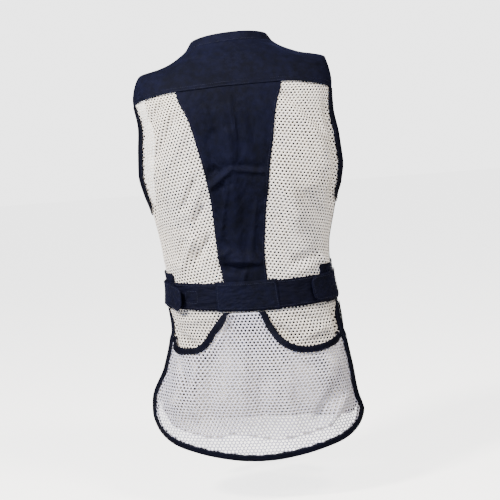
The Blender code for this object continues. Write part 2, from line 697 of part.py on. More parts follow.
def make_belt():
    """Make the webbing belt and the wide loop that it runs through at the centre back."""
    half = np.array(BELT_TURNS, float)
    turns = np.concatenate([-half[::-1], [0.0], half])
    lattice = band(turns, -BELT["height"] / 2, BELT["height"] / 2, 4)
    step = ease((np.abs(lattice[0]) - BELT["step_turn"]) / BELT["step"])
    low = TWILL_WALL + BELT["rest"] + step * (BELT["over_anchor"] - BELT["rest"])
    panel("belt", lattice, low, low + BELT["wall"], NAVY)

    reach = float(turn_at(LOOP["half_width"], belt_middle(0.0)))
    turns = spread(-reach, reach, 9)
    share = np.array(LOOP_SHARES)[:, None]
    levels = belt_middle(turns) - LOOP["height"] / 2 + share * LOOP["height"]
    foot = TWILL_WALL + LOOP["rest"]
    over = TWILL_WALL + BELT["rest"] + BELT["wall"] + LOOP["rest"]
    low = np.where((share > 0) & (share < 1), over, foot) * np.ones_like(levels)
    panel("belt_loop", (np.ones_like(share) * turns[None, :], levels), low, low + LOOP["wall"], NAVY)


def make_side_pieces():
    """Make the anchors at the sides and the rounded tabs that lie over the belt."""
    turns = spread(ANCHOR["from_turn"], ANCHOR["to_turn"], 9)
    anchor = band(turns, ANCHOR["bottom"], ANCHOR["top"], 4)
    anchor_low = TWILL_WALL + ANCHOR["rest"]
    panel("side_anchor_left", anchor, anchor_low, anchor_low + ANCHOR["wall"], NAVY)
    panel("side_anchor_right", mirrored(anchor), anchor_low, anchor_low + ANCHOR["wall"], NAVY)

    turns = np.array(TAB_TURNS)
    away = np.clip((turns - turns[0]) / TAB["round"], 0, 1)
    round_end = 0.35 + 0.65 * np.sqrt(1 - (1 - away) ** 2)
    share = spread(-1, 1, 5)[:, None]
    level = belt_middle(turns) + 1 + share * TAB["height"] / 2 * round_end
    turn = np.ones_like(share) * turns[None, :]
    over = TWILL_WALL + BELT["over_anchor"] + BELT["wall"]
    root = anchor_low + ANCHOR["wall"] + LAYER_GAP
    for side in ("left", "right"):
        low = root + (over + TAB["rest"] - root) * (1 - ease((turn - TAB_STEP[0]) / TAB_STEP[1]))
        low = low + TAB_LIFT[side] * (1 - ease((turn - turns[0]) / TAB_LIFT["loose"])) ** 2
        hung = level - TAB_DROP[side] * (1 - ease((turn - turns[0]) / TAB_DROP["loose"]))
        lattice = (turn, hung) if side == "left" else mirrored((turn, hung))
        heights = low if side == "left" else low[:, ::-1]
        panel("side_tab_" + side, lattice, heights, heights + TAB["wall"], NAVY)


def make_zip():
    """Make the closed chain between the fronts and the tape behind them."""
    for row in ZIP_PARTS:
        part = dict(zip(ZIP_COLUMNS, row))
        levels = spread(part["start"], SLIDER["level"] + ZIP_ABOVE_SLIDER, 30)
        angle = turn_at(part["reach"], levels)[:, None]
        turn = 180 - angle + 2 * angle * spread(0, 1, 3)[None, :]
        lattice = (turn, levels[:, None] * np.ones((1, 3)))
        panel(part["name"], lattice, part["inner"], part["outer"], NAVY_TAPE)


def slab(name, cells, low, high, frame, colour, metallic=1.0):
    """Raise flat cells, each from-to across and down, between two heights in a slanted frame."""
    origin, across, down, out = frame
    mesh_data = bmesh.new()
    corners = {}

    def vertex(x, t, n):
        key = (round(x, 4), round(t, 4), round(n, 4))
        if key not in corners:
            spot = (origin + across * x + down * t + out * n) * METRES
            corners[key] = mesh_data.verts.new(spot)
        return corners[key]

    edges = {}
    for x0, t0, x1, t1 in cells:
        loop = ((x0, t0), (x1, t0), (x1, t1), (x0, t1))
        mesh_data.faces.new([vertex(x, t, high) for x, t in loop])
        mesh_data.faces.new([vertex(x, t, low) for x, t in reversed(loop)])
        for first, last in zip(loop, loop[1:] + loop[:1]):
            if (last, first) in edges:
                del edges[(last, first)]
            else:
                edges[(first, last)] = True
    for first, last in edges:
        corners_round = ((*last, high), (*first, high), (*first, low), (*last, low))
        mesh_data.faces.new([vertex(*corner) for corner in corners_round])
    return add_object(name, mesh_data, colour, 0.35, metallic)


def make_slider():
    """Make the slider with its bridge, and the pull tab whose top rail turns under the bridge."""
    level = SLIDER["level"]
    chain_top = dict(zip(ZIP_COLUMNS, ZIP_PARTS[0]))["outer"]
    spot = place(180.0, level, chain_top + SLIDER["lift"])
    below = place(180.0, level - 20, chain_top + SLIDER["lift"])
    down = (below - spot) * np.array([0, 1, 1])
    down /= np.linalg.norm(down)
    across = np.array([1.0, 0.0, 0.0])
    out = np.cross(across, down)
    out *= -1 if out[1] > 0 else 1
    frame = (spot, across, down, out)
    half, length, plate = SLIDER["width"] / 2, SLIDER["length"], SLIDER["plate"]
    narrow = BRIDGE["width"] / 2
    reach, post = BRIDGE["reach"], BRIDGE["post"]
    body_cells = [(-half, -length / 2, half, length / 2)]
    slider = slab("zip_slider", body_cells, 0, plate, frame, METAL)
    top = plate + BRIDGE["opening"] + BRIDGE["beam"]
    arch = slab("bridge_block", [(-narrow, -reach, narrow, reach)], plate - 0.5, top, frame, METAL)
    opening = slab("bridge_opening", [(-half, post - reach, half, reach - post)], plate,
                   plate + BRIDGE["opening"], frame, METAL)
    for cutter, base, action in ((opening, arch, "DIFFERENCE"), (arch, slider, "UNION")):
        change = base.modifiers.new(action.lower(), "BOOLEAN")
        change.object = cutter
        change.operation = action
        change.solver = "EXACT"
        cutter.hide_render = True
        cutter.display_type = "WIRE"

    rail, window = PULL["rail"], PULL["window"] / 2
    wide, long = PULL["width"] / 2, PULL["length"]
    end = rail / 2 + PULL["window_length"]
    cells = [
        (-wide, -rail / 2, -window, rail / 2), (-window, -rail / 2, window, rail / 2),
        (window, -rail / 2, wide, rail / 2), (-wide, rail / 2, -window, end), (window, rail / 2, wide, end),
        (-wide, end, -window, long), (-window, end, window, long), (window, end, wide, long),
    ]
    height = plate + PULL["height"]
    axis = spot + out * height
    pull_frame = (np.zeros(3), across, down, out)
    pull = slab("zip_pull", cells, -rail / 2, rail / 2, pull_frame, METAL)
    pull.location = axis * METRES


def main():
    """Clear the scene and make every piece."""
    for item in list(bpy.data.objects):
        bpy.data.objects.remove(item, do_unlink=True)
    centre, net = make_back()
    yoke = make_yoke(centre, net)
    front = make_front()
    make_neck_band(yoke)
    outer, low = make_tail()
    make_tail_tapes(outer, low)
    make_armhole_tapes(net, front)
    make_front_tapes(front)
    make_belt()
    make_side_pieces()
    make_zip()
    make_slider()


main()
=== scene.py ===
"""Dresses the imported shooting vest: knitted net, navy twill, folded tape, webbing, thread and a zip.

Every piece is laid on the same worn form as the solids. A place on it is a turn in degrees (0 at the centre
back, 90 at the wearer's left side, 180 at the centre front) and a level in millimetres.
"""

import math

import bmesh
import bpy
import numpy as np
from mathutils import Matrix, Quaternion, Vector


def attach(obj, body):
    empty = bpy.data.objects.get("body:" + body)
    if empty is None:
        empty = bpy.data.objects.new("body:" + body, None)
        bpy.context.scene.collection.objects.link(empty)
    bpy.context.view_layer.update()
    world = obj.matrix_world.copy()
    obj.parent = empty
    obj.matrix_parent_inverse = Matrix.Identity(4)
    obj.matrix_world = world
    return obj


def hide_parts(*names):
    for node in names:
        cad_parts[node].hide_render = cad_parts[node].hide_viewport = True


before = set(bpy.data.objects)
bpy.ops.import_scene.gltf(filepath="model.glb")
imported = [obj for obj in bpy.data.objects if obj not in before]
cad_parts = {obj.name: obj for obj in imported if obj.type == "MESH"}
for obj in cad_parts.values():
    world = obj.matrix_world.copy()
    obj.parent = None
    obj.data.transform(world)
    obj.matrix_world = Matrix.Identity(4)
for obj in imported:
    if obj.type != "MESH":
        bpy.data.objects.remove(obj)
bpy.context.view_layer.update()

# Net back panels. Off-white warp-knit net with round staggered holes, one panel on each side of the centre
# panel, cut with its rows falling towards the armhole. Its edges run a few millimetres under the twill and
# the tape, which are sewn over them. The worn form that every piece shares is given here first.
METRES = 0.001
SIDES = (("left", 1), ("right", -1))
RING_COLUMNS = ("level", "back", "side", "front", "half", "rear", "fore", "crown", "lean", "sway", "slim")
RINGS = (
    (-740, -740, -740, -740, 190, 114, 114, 2.0, 1.0, -6, 0.12),
    (-650, -650, -650, -650, 196, 112, 113, 2.0, 1.4, -1, 0.12),
    (-612, -612, -612, -612, 190, 110, 112, 2.0, 1.8, 3, 0.12),
    (-560, -560, -560, -560, 173, 106, 109, 2.0, 2.2, -6, 0.09),
    (-500, -500, -500, -500, 159, 100, 105, 2.0, 2.2, -9, 0.05),
    (-444, -444, -444, -444, 153, 95, 102, 2.0, 1.2, -3, 0.0),
    (-403, -403, -403, -403, 149, 92, 100, 2.0, 0.6, -1, 0.0),
    (-350, -350, -350, -350, 152, 93, 101, 2.0, 0.3, 3, 0.0),
    (-300, -300, -300, -300, 161, 99, 106, 2.0, 0.0, 1, 0.0),
    (-264, -264, -264, -264, 169, 105, 111, 2.0, 0.0, -1, 0.0),
    (-235, -235, -235, -238, 182, 110, 114, 2.0, 0.0, -3, 0.0),
    (-200, -200, -198, -208, 191, 114, 116, 2.0, 0.0, -3, 0.0),
    (-160, -160, -157, -178, 189, 117, 116, 2.5, -0.3, -3, 0.0),
    (-110, -112, -106, -140, 183, 118, 115, 3.0, -0.6, -1, 0.0),
    (-70, -78, -65, -116, 184, 114, 112, 4.0, -0.9, 2, 0.0),
    (-30, -46, -19, -104, 168, 105, 108, 4.5, -1.5, 2, 0.0),
    (-5, -8, -6, -94, 120, 87, 104, 3.0, -2.2, 2, 0.0),
    (20, 23, 16, -84, 80, 66, 99, 2.0, -2.8, 4, 0.0),
    (38, 41, 35, -70, 67, 58, 95, 2.0, -3.0, 4, 0.0),
)
SIDE_BLEND = (72.0, 30.0)
SQUARENESS = 2.4

# Folds and creases: two ends across and up, height out of the cloth, half-width, back (1) or front (-1)
FOLD_COLUMNS = ("x0", "z0", "x1", "z1", "height", "width", "face")
FOLDS = (
    (12, -70, 4, -395, 4.0, 13, 1),
    (52, -215, 12, -195, -3.0, 10, 1),
    (12, -195, -46, -208, -3.0, 10, 1),
    (46, -352, -34, -362, 4.5, 10, 1),
    (44, -372, 2, -384, -3.5, 8, 1),
    (104, -92, 148, -160, 4.5, 16, 1),
    (76, -196, 112, -285, 4.5, 16, 1),
    (84, -315, 120, -370, 4.0, 14, 1),
    (-98, -88, -154, -152, 4.5, 16, 1),
    (-72, -215, -112, -300, 3.5, 18, 1),
    (30, -500, 44, -650, 4.0, 20, 1),
    (-34, -520, -52, -660, 4.0, 20, 1),
    (116, -560, 132, -640, 3.5, 18, 1),
    (-112, -560, -136, -650, 3.5, 18, 1),
    (60, -150, 96, -290, 4.0, 18, -1),
    (-64, -160, -92, -300, 4.0, 18, -1),
    (70, -350, 40, -420, 4.0, 16, -1),
    (-60, -340, -44, -430, 4.0, 16, -1),
    (84, -480, 98, -630, 4.0, 20, -1),
    (-88, -500, -96, -640, 4.0, 20, -1),
)
CREASES = (
    (-2, -77, -5, -157, 2.6, 3, 1),
    (9, -130, 7, -192, 2.5, 10, 1),
    (8, -199, 52, -233, 6.5, 5, 1),
    (7, -201, -50, -211, 5.5, 5, 1),
    (34, -196, 50, -206, -3.0, 7, 1),
    (30, -232, 6, -222, -2.4, 8, 1),
    (17, -213, 34, -320, 3.0, 5, 1),
    (-32, -258, -17, -359, 2.6, 5, 1),
    (47, -140, 40, -204, -2.6, 7, 1),
    (44, -84, 38, -132, 2.4, 8, 1),
    (18, -341, 32, -353, 3.0, 4, 1),
    (26, -364, -36, -369, 4.0, 5, 1),
    (30, -369, -3, -380, -3.0, 4, 1),
    (-3, -382, 5, -406, 2.0, 4, 1),
    (-24, -300, -40, -345, -2.0, 7, 1),
    (-16, -96, -26, -160, 2.0, 8, 1),
    (96, -95, 149, -172, -7.0, 8, 1),
    (84, -122, 130, -200, 4.5, 9, 1),
    (120, -74, 154, -110, -4.5, 6, 1),
    (73, -209, 107, -270, -6.5, 6, 1),
    (62, -222, 92, -282, 4.0, 6, 1),
    (63, -259, 83, -294, -5.0, 5, 1),
    (80, -312, 112, -376, 6.0, 6, 1),
    (55, -317, 88, -366, -7.0, 7, 1),
    (104, -318, 112, -366, -5.0, 9, 1),
    (150, -291, 127, -360, -6.0, 13, 1),
    (-98, -77, -159, -147, -9.0, 9, 1),
    (-104, -112, -160, -180, 4.5, 9, 1),
    (-78, -190, -100, -320, 4.0, 14, 1),
    (-88, -372, -138, -357, -7.0, 8, 1),
    (-76, -392, -120, -384, 3.0, 7, 1),
    (-133, -354, -146, -388, 4.5, 5, 1),
    (-120, -250, -150, -310, -5.0, 11, 1),
    (73, -521, 73, -643, -6.5, 9, 1),
    (98, -530, 100, -640, 5.0, 10, 1),
    (135, -533, 113, -583, -6.0, 8, 1),
    (18, -500, 12, -650, 4.5, 11, 1),
    (-14, -560, -24, -690, -6.0, 11, 1),
    (-58, -560, -72, -680, 5.0, 11, 1),
    (-167, -606, -126, -661, 8.0, 8, 1),
    (-144, -593, -104, -652, -7.0, 8, 1),
    (150, -570, 162, -650, -3.5, 12, 1),
    (146, -490, 107, -513, -5.0, 6, 1),
    (60, -462, 128, -472, 3.5, 7, 1),
    (-43, -481, -75, -508, -6.0, 7, 1),
    (-89, -503, -126, -489, 4.0, 6, 1),
    (-74, -466, -130, -478, -3.5, 7, 1),
    (40, -170, 66, -260, -4.5, 9, -1),
    (100, -220, 126, -330, 4.0, 10, -1),
    (-44, -180, -60, -270, 4.0, 9, -1),
    (-100, -230, -120, -320, -4.0, 10, -1),
    (92, -370, 56, -436, -4.5, 9, -1),
    (-86, -360, -66, -440, 4.5, 9, -1),
    (50, -470, 58, -610, 4.5, 12, -1),
    (112, -480, 122, -600, -4.5, 12, -1),
    (-50, -480, -62, -640, -4.5, 12, -1),
    (-116, -500, -124, -620, 4.0, 12, -1),
)
FORM_SHAPE = 2 / SQUARENESS


def trend(knots, values, at):
    """Read a smooth curve through a short table, straight beyond its ends."""
    knots = np.asarray(knots, float)
    values = np.asarray(values, float)
    steps = np.diff(knots)
    slopes = np.diff(values) / steps
    tangents = np.zeros(len(knots))
    tangents[0], tangents[-1] = slopes[0], slopes[-1]
    before, after = slopes[:-1], slopes[1:]
    steady = before * after > 0
    tangents[1:-1][steady] = 2 * before[steady] * after[steady] / (before[steady] + after[steady])
    inside = np.clip(at, knots[0], knots[-1])
    index = np.clip(np.searchsorted(knots, inside, side="right") - 1, 0, len(steps) - 1)
    step = steps[index]
    share = (inside - knots[index]) / step
    curve = values[index] + (values[index + 1] - values[index]) * share * share * (3 - 2 * share)
    curve = curve + step * share * (1 - share) ** 2 * tangents[index]
    curve = curve - step * share ** 2 * (1 - share) * tangents[index + 1]
    beyond = np.asarray(at, float) - inside
    return curve + np.where(beyond < 0, tangents[0], tangents[-1]) * beyond


def ease(value):
    """Go from 0 to 1 with a soft start and end."""
    share = np.clip(value, 0, 1)
    return share * share * (3 - 2 * share)


RING_TABLE = {name: np.array([row[i] for row in RINGS], float) for i, name in enumerate(RING_COLUMNS)}


def ring(name, level):
    """Read one column of the ring table at a level."""
    return trend(RING_TABLE["level"], RING_TABLE[name], level)


def body(turn, level):
    """Give the smooth surface at a turn and a level, before folds and lean."""
    turn, level = np.broadcast_arrays(np.asarray(turn, float), np.asarray(level, float))
    sine, cosine = np.sin(np.radians(turn)), np.cos(np.radians(turn))
    is_back = cosine >= 0
    slim = ring("slim", level) * ease((np.abs(turn) - SIDE_BLEND[0]) / SIDE_BLEND[1])
    across = ring("half", level) * (1 - slim) * np.sign(sine) * np.abs(sine) ** FORM_SHAPE
    depth = np.where(is_back, ring("rear", level), ring("fore", level))
    out = depth * np.sign(cosine) * np.abs(cosine) ** FORM_SHAPE
    middle = np.where(is_back, ring("back", level), ring("front", level))
    up = middle + (ring("side", level) - middle) * np.abs(sine) ** ring("crown", level)
    return np.stack([across, out, up], axis=-1)


def slopes(turn, level):
    """Give the surface's change for one degree of turn and one millimetre of level."""
    by_turn = body(turn + 0.5, level) - body(turn - 0.5, level)
    by_level = (body(turn, level + 1.5) - body(turn, level - 1.5)) / 3
    return by_turn, by_level


def outward(turn, level):
    """Give the unit normal that points out of the garment."""
    by_turn, by_level = slopes(turn, level)
    normal = np.cross(by_level, by_turn)
    return normal / np.linalg.norm(normal, axis=-1, keepdims=True)


def fold_height(spot, turn):
    """Add up the folds and creases at a spot of the surface."""
    height = np.zeros(spot.shape[:-1])
    facing = np.cos(np.radians(turn))
    for row in FOLDS + CREASES:
        fold = dict(zip(FOLD_COLUMNS, row))
        run = np.array([fold["x1"] - fold["x0"], fold["z1"] - fold["z0"]], float)
        length = np.hypot(*run)
        offset = np.stack([spot[..., 0] - fold["x0"], spot[..., 2] - fold["z0"]], axis=-1)
        along = offset @ run / length ** 2
        beside = (offset[..., 0] * run[1] - offset[..., 1] * run[0]) / length
        ends = ease((along + 0.15) / 0.35) * ease((1.15 - along) / 0.35)
        shown = ends * ease(facing * fold["face"] * 3)
        height += fold["height"] * np.exp(-(beside / fold["width"]) ** 2) * shown
    return height


ARMHOLE = {"bottom": -264.0, "top": -30.0, "turn": 90.0, "back": 21.0, "front": 30.0, "roundness": 2.5}
ARMHOLE_MIDDLE = (ARMHOLE["bottom"] + ARMHOLE["top"]) / 2
ARMHOLE_HALF = (ARMHOLE["top"] - ARMHOLE["bottom"]) / 2
VENT_BACK = ((-722, 71), (-640, 72), (-560, 74), (-500, 77), (-455, 82), (-420, 90))
EDGE_TROUGH = {
    "armhole": 7.0, "vent": 5.0, "from_edge": 17.0, "width": 9.5, "fade": 60.0, "shoulder": -70.0,
    "belt": -446.0, "belt_fade": 24.0, "corner": -670.0, "side_turn": 82.0, "side_fade": 10.0,
    "pull": (-484.0, 30.0), "pull_left": 0.6, "pull_right": 1.8,
}


def armhole_away(turn, level):
    """Give how far outside the armhole's oval a place is, as a share of its size."""
    away = np.abs(turn) - ARMHOLE["turn"]
    reach = np.where(away < 0, ARMHOLE["back"], ARMHOLE["front"])
    power = ARMHOLE["roundness"]
    share = np.abs(away / reach) ** power + np.abs((level - ARMHOLE_MIDDLE) / ARMHOLE_HALF) ** power
    return share ** (1 / power) - 1


def vent_back(level):
    """Give the turn of the tail's side edge."""
    return trend(*zip(*VENT_BACK), level)


def edge_distance(rule, turn, level):
    """Turn a rule of turn and level into millimetres of cloth from its edge."""
    value = rule(turn, level)
    across = np.linalg.norm(body(turn + 0.5, level) - body(turn - 0.5, level), axis=-1)
    by_turn = (rule(turn + 0.5, level) - value) * 2 / across
    by_level = rule(turn, level + 1.0) - value
    return value / np.maximum(np.hypot(by_turn, by_level), 1e-4)


def edge_trough(turn, level):
    """Give the trough behind the bound edges, where the tape draws the cloth in and its edge flares."""
    start, width = EDGE_TROUGH["from_edge"], EDGE_TROUGH["width"]
    armhole = edge_distance(armhole_away, turn, level)
    vent = edge_distance(lambda v, u: vent_back(u) - np.abs(v), turn, level)
    fade = EDGE_TROUGH["fade"]
    round_arm = np.exp(-((armhole - start) / width) ** 2) * ease((EDGE_TROUGH["shoulder"] - level) / fade)
    round_arm = round_arm * ease((EDGE_TROUGH["side_turn"] - np.abs(turn)) / EDGE_TROUGH["side_fade"])
    below_belt = ease((EDGE_TROUGH["belt"] - level) / EDGE_TROUGH["belt_fade"])
    at_vent = np.exp(-((vent - start) / width) ** 2) * below_belt
    middle, reach = EDGE_TROUGH["pull"]
    pull = np.where(turn > 0, EDGE_TROUGH["pull_left"], EDGE_TROUGH["pull_right"])
    at_vent = at_vent * (1 + pull * np.exp(-((level - middle) / reach) ** 2))
    at_vent = at_vent * ease((level - EDGE_TROUGH["corner"]) / fade)
    return EDGE_TROUGH["armhole"] * round_arm + EDGE_TROUGH["vent"] * at_vent


def place(turn, level, out=0.0):
    """Give a point of the worn cloth, moved out from the inner face, in millimetres."""
    turn, level = np.broadcast_arrays(np.asarray(turn, float), np.asarray(level, float))
    spot = body(turn, level)
    height = np.asarray(out, float) + fold_height(spot, turn) - edge_trough(turn, level)
    spot = spot + outward(turn, level) * height[..., None]
    spot[..., 2] += spot[..., 0] * np.tan(np.radians(ring("lean", level)))
    spot[..., 0] += ring("sway", level)
    return spot


def turn_at(across, level):
    """Give the turn on the back where the surface is so far from the centre line."""
    share = np.clip(np.abs(across) / ring("half", level), 0, 1)
    return np.degrees(np.arcsin(share ** (1 / FORM_SHAPE))) * np.sign(across)


def seam_points(table):
    """Turn places across and up the back into turns and levels."""
    turns, levels = [], []
    for across, height in table:
        level = float(height)
        for _ in range(12):
            turn = turn_at(across, level)
            level += (height - body(turn, level)[2]) * 0.8
        turns.append(float(turn))
        levels.append(level)
    return np.array(turns), np.array(levels)


def level_along(table):
    """Make a seam that gives a level for each turn, the same on both sides."""
    turns, levels = seam_points(table)
    return lambda turn: trend(turns, levels, np.abs(turn))


def turn_along(table):
    """Make an edge that gives a turn for each level."""
    turns, levels = seam_points(table)
    order = np.argsort(levels)
    return lambda level: trend(levels[order], turns[order], level)


centre_edge = turn_along(((92, -60), (81, -95), (68, -150), (55, -217), (46, -290), (41, -360), (38, -440)))
yoke_seam = level_along(((0, -57), (95, -58), (150, -65), (170, -70)))
waist_seam = level_along(((0, -428), (80, -426), (150, -420)))

# Length of the cloth round each level from the centre back, so that the knit keeps its size all over
ARC_STEP = 5.0
ARC_LEVELS = np.arange(-750.0, 60.0, ARC_STEP)
ARC_TURNS = np.linspace(0.0, 180.0, 721)
ARC_GRID = body(*np.meshgrid(ARC_TURNS, ARC_LEVELS))
ARC_TABLE = np.concatenate(
    [np.zeros((len(ARC_LEVELS), 1)), np.cumsum(np.linalg.norm(np.diff(ARC_GRID, axis=1), axis=2), axis=1)],
    axis=1,
)


def level_share(level):
    """Split levels into a row of the arc table and the share of the way to the next one."""
    row = np.clip((level - ARC_LEVELS[0]) / ARC_STEP, 0, len(ARC_LEVELS) - 1.001)
    index = row.astype(int)
    return index, row - index


def turn_of_arc(arc, level):
    """Give the turn that lies so much cloth away from the centre back."""
    index, share = level_share(level)
    size = np.abs(arc)
    turn = np.zeros_like(size)
    for row in np.unique(index):
        here = index == row
        low = np.interp(size[here], ARC_TABLE[row], ARC_TURNS)
        high = np.interp(size[here], ARC_TABLE[row + 1], ARC_TURNS)
        turn[here] = low + (high - low) * share[here]
    return turn * np.sign(arc)


def away_from(rule, arc, level):
    """Turn a rule of turn and level into millimetres of cloth inside its edge."""
    step = 1.0
    value = rule(turn_of_arc(arc, level), level)
    by_arc = rule(turn_of_arc(arc + step, level), level) - value
    by_level = rule(turn_of_arc(arc, level + step), level + step) - value
    return value / np.maximum(np.hypot(by_arc, by_level), 1e-4)


NET_PITCH, NET_ROW = 6.7, 5.3
NET_HOLE = (1.70, 1.56)
POCKET_HOLE = (1.97, 1.81)
NET_SELVAGE, NET_REST, NET_TOP = 4.0, 0.25, 0.9
NET_DRIFT = {"seed": 7, "wander": 0.09, "size": 0.05}
RING_OF_CELL = np.array([
    (2, 0), (2, 2), (1, 3), (0, 4), (-1, 3), (-2, 2), (-2, 0), (-2, -2), (-1, -3), (0, -4), (1, -3), (2, -2),
])
CELL_SIDES, KEY_STEP = len(RING_OF_CELL), 100000
GRID_UNIT = np.array([NET_PITCH / 4, NET_ROW / 6])


def joined(first, last):
    """Join two loops of point numbers, or rows of such loops, with four-sided faces."""
    corners = [first, np.roll(first, -1, axis=-1), np.roll(last, -1, axis=-1), last]
    return np.stack(corners, axis=-1).reshape(-1, 4).tolist()


def knit_plan(box, tilt, edges, hole):
    """Lay out the net flat: thread round staggered holes, cut along its edges and plain just inside them."""
    corners = np.array([(x, y) for x in box[:2] for y in box[2:]])
    spin = np.array([[math.cos(tilt), math.sin(tilt)], [-math.sin(tilt), math.cos(tilt)]])
    turned = corners @ spin.T
    low, high = turned.min(0), turned.max(0)
    rows = np.arange(math.floor(low[1] / NET_ROW) - 1, math.ceil(high[1] / NET_ROW) + 2)
    places = np.arange(math.floor(low[0] / NET_PITCH) - 1, math.ceil(high[0] / NET_PITCH) + 2)
    column, row = (grid.ravel() for grid in np.meshgrid(places, rows))
    centre = np.stack([4 * column + 2 * (row % 2), 6 * row], axis=-1)

    def inside(points):
        flat = points @ spin
        distance = np.min([away_from(edge, flat[:, 0], flat[:, 1]) for edge in edges], axis=0)
        return np.clip(distance, -20, 20)

    depth = inside(centre * GRID_UNIT)
    near = depth > -NET_PITCH
    centre, depth = centre[near], depth[near]
    is_open = depth > NET_SELVAGE
    around = centre[:, None, :] + RING_OF_CELL[None, :, :]
    keys = around[..., 0] * KEY_STEP + around[..., 1]
    _, first, index = np.unique(keys, return_index=True, return_inverse=True)
    index = index.reshape(keys.shape)
    nodes = around.reshape(-1, 2)[first] * GRID_UNIT
    angle = np.arctan2(*(RING_OF_CELL * GRID_UNIT).T[::-1])
    hole_ring = np.stack([hole[0] * np.cos(angle), hole[1] * np.sin(angle)], axis=-1)
    drift = np.random.default_rng(NET_DRIFT["seed"])
    wander = drift.normal(0, NET_DRIFT["wander"], (int(is_open.sum()), 1, 2))
    size = drift.normal(1.0, NET_DRIFT["size"], (int(is_open.sum()), 1, 1))
    holes = centre[is_open][:, None, :] * GRID_UNIT + hole_ring[None] * size + wander
    points = np.concatenate([nodes, holes.reshape(-1, 2), centre[~is_open] * GRID_UNIT])
    hole_end = len(nodes) + len(holes) * CELL_SIDES
    edge_of_hole = np.arange(len(nodes), hole_end).reshape(-1, CELL_SIDES)
    middle = hole_end + np.arange(int((~is_open).sum()))
    plain = index[~is_open]
    middle = np.repeat(middle[:, None], CELL_SIDES, axis=1)
    fans = np.stack([plain, np.roll(plain, -1, axis=1), middle], axis=-1)
    faces = joined(index[is_open], edge_of_hole) + fans.reshape(-1, 3).tolist()
    is_thin = np.zeros(len(points), bool)
    is_thin[len(nodes):hole_end] = True
    depth = inside(points)
    points, faces, is_thin = trim(points, faces, is_thin, depth)
    return points @ spin, faces, is_thin


def trim(points, faces, is_thin, depth):
    """Cut the flat net along the line where its depth inside the edges is nothing."""
    shown = depth > 0
    kept, added, cuts = [], [], {}
    for face in faces:
        flags = [shown[i] for i in face]
        if all(flags):
            kept.append(face)
            continue
        if not any(flags):
            continue
        loop = []
        for first, last in zip(face, face[1:] + face[:1]):
            if shown[first]:
                loop.append(first)
            if shown[first] != shown[last]:
                key = (min(first, last), max(first, last))
                if key not in cuts:
                    share = depth[key[0]] / (depth[key[0]] - depth[key[1]])
                    cuts[key] = len(points) + len(added)
                    added.append(points[key[0]] + (points[key[1]] - points[key[0]]) * share)
                loop.append(cuts[key])
        kept.append(loop)
    if added:
        points = np.concatenate([points, np.array(added)])
        is_thin = np.concatenate([is_thin, np.ones(len(added), bool)])
    used = np.unique(np.concatenate([np.array(face) for face in kept]))
    number = np.full(len(points), -1)
    number[used] = np.arange(len(used))
    return points[used], [[int(number[i]) for i in face] for face in kept], is_thin[used]


def build(name, vertices, faces, material, replaces=(), rides="vest", smooth=True):
    """Make one piece from points in millimetres, faces out, and fix it to its body."""
    mesh = bpy.data.meshes.new(name)
    mesh.from_pydata((np.asarray(vertices) * METRES).tolist(), [], faces)
    mesh.validate()
    if smooth:
        mesh.shade_smooth()
    mesh.materials.append(material)
    piece = bpy.data.objects.new(name, mesh)
    bpy.context.scene.collection.objects.link(piece)
    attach(piece, rides)
    if replaces:
        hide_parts(*replaces)
    return piece


def knit(name, node, box, tilt, edges, low, high, material, hole=NET_HOLE):
    """Knit one net panel on the form: round threads, thick at their middle and thin at each hole."""
    points, faces, is_thin = knit_plan(box, tilt, edges, hole)
    level = points[:, 1]
    turn = turn_of_arc(points[:, 0], level)
    low = low(turn, level) if callable(low) else np.full(level.shape, low)
    middle, half = low + (high - NET_REST) / 2, (high - NET_REST) / 2
    inner = place(turn, level, np.where(is_thin, middle, middle - half))
    outer = place(turn[~is_thin], level[~is_thin], (middle + half)[~is_thin])
    top = np.arange(len(turn))
    top[~is_thin] = len(turn) + np.arange(len(outer))
    top = top.tolist()
    upper = [[top[i] for i in face] for face in faces]
    lower = [face[::-1] for face in faces]
    vertices = np.concatenate([inner, outer])
    if turned_in(vertices, upper[0]):
        upper, lower = [face[::-1] for face in upper], [face[::-1] for face in lower]
    return build(name, vertices, upper + lower, material, (node,))


def turned_in(vertices, face):
    """Tell whether a face of the outer side looks into the garment."""
    a, b, c = (vertices[i] for i in face[:3])
    normal = np.cross(b - a, c - a)
    centre = (a + b + c) / 3
    return normal[0] * centre[0] + normal[1] * centre[1] < 0


def node_at(tree, kind, links=(), **values):
    """Add a shader node, set its values and link sockets into it."""
    node = tree.nodes.new(kind)
    for key, value in values.items():
        setattr(node, key, value)
    for source, target in links:
        tree.links.new(source, node.inputs[target])
    return node


def math_at(tree, operation, *sources):
    """Add one step of sums to a shader, and give back its result."""
    links = tuple((source, number) for number, source in enumerate(sources))
    return node_at(tree, "ShaderNodeMath", links, operation=operation).outputs[0]


def new_group(name, inputs, outputs):
    """Start a shader group with named sockets."""
    group = bpy.data.node_groups.new(name, "ShaderNodeTree")
    for label, kind, value in inputs:
        group.interface.new_socket(label, in_out="INPUT", socket_type=kind).default_value = value
    for label, kind in outputs:
        group.interface.new_socket(label, in_out="OUTPUT", socket_type=kind)
    return group, group.nodes.new("NodeGroupInput"), group.nodes.new("NodeGroupOutput")


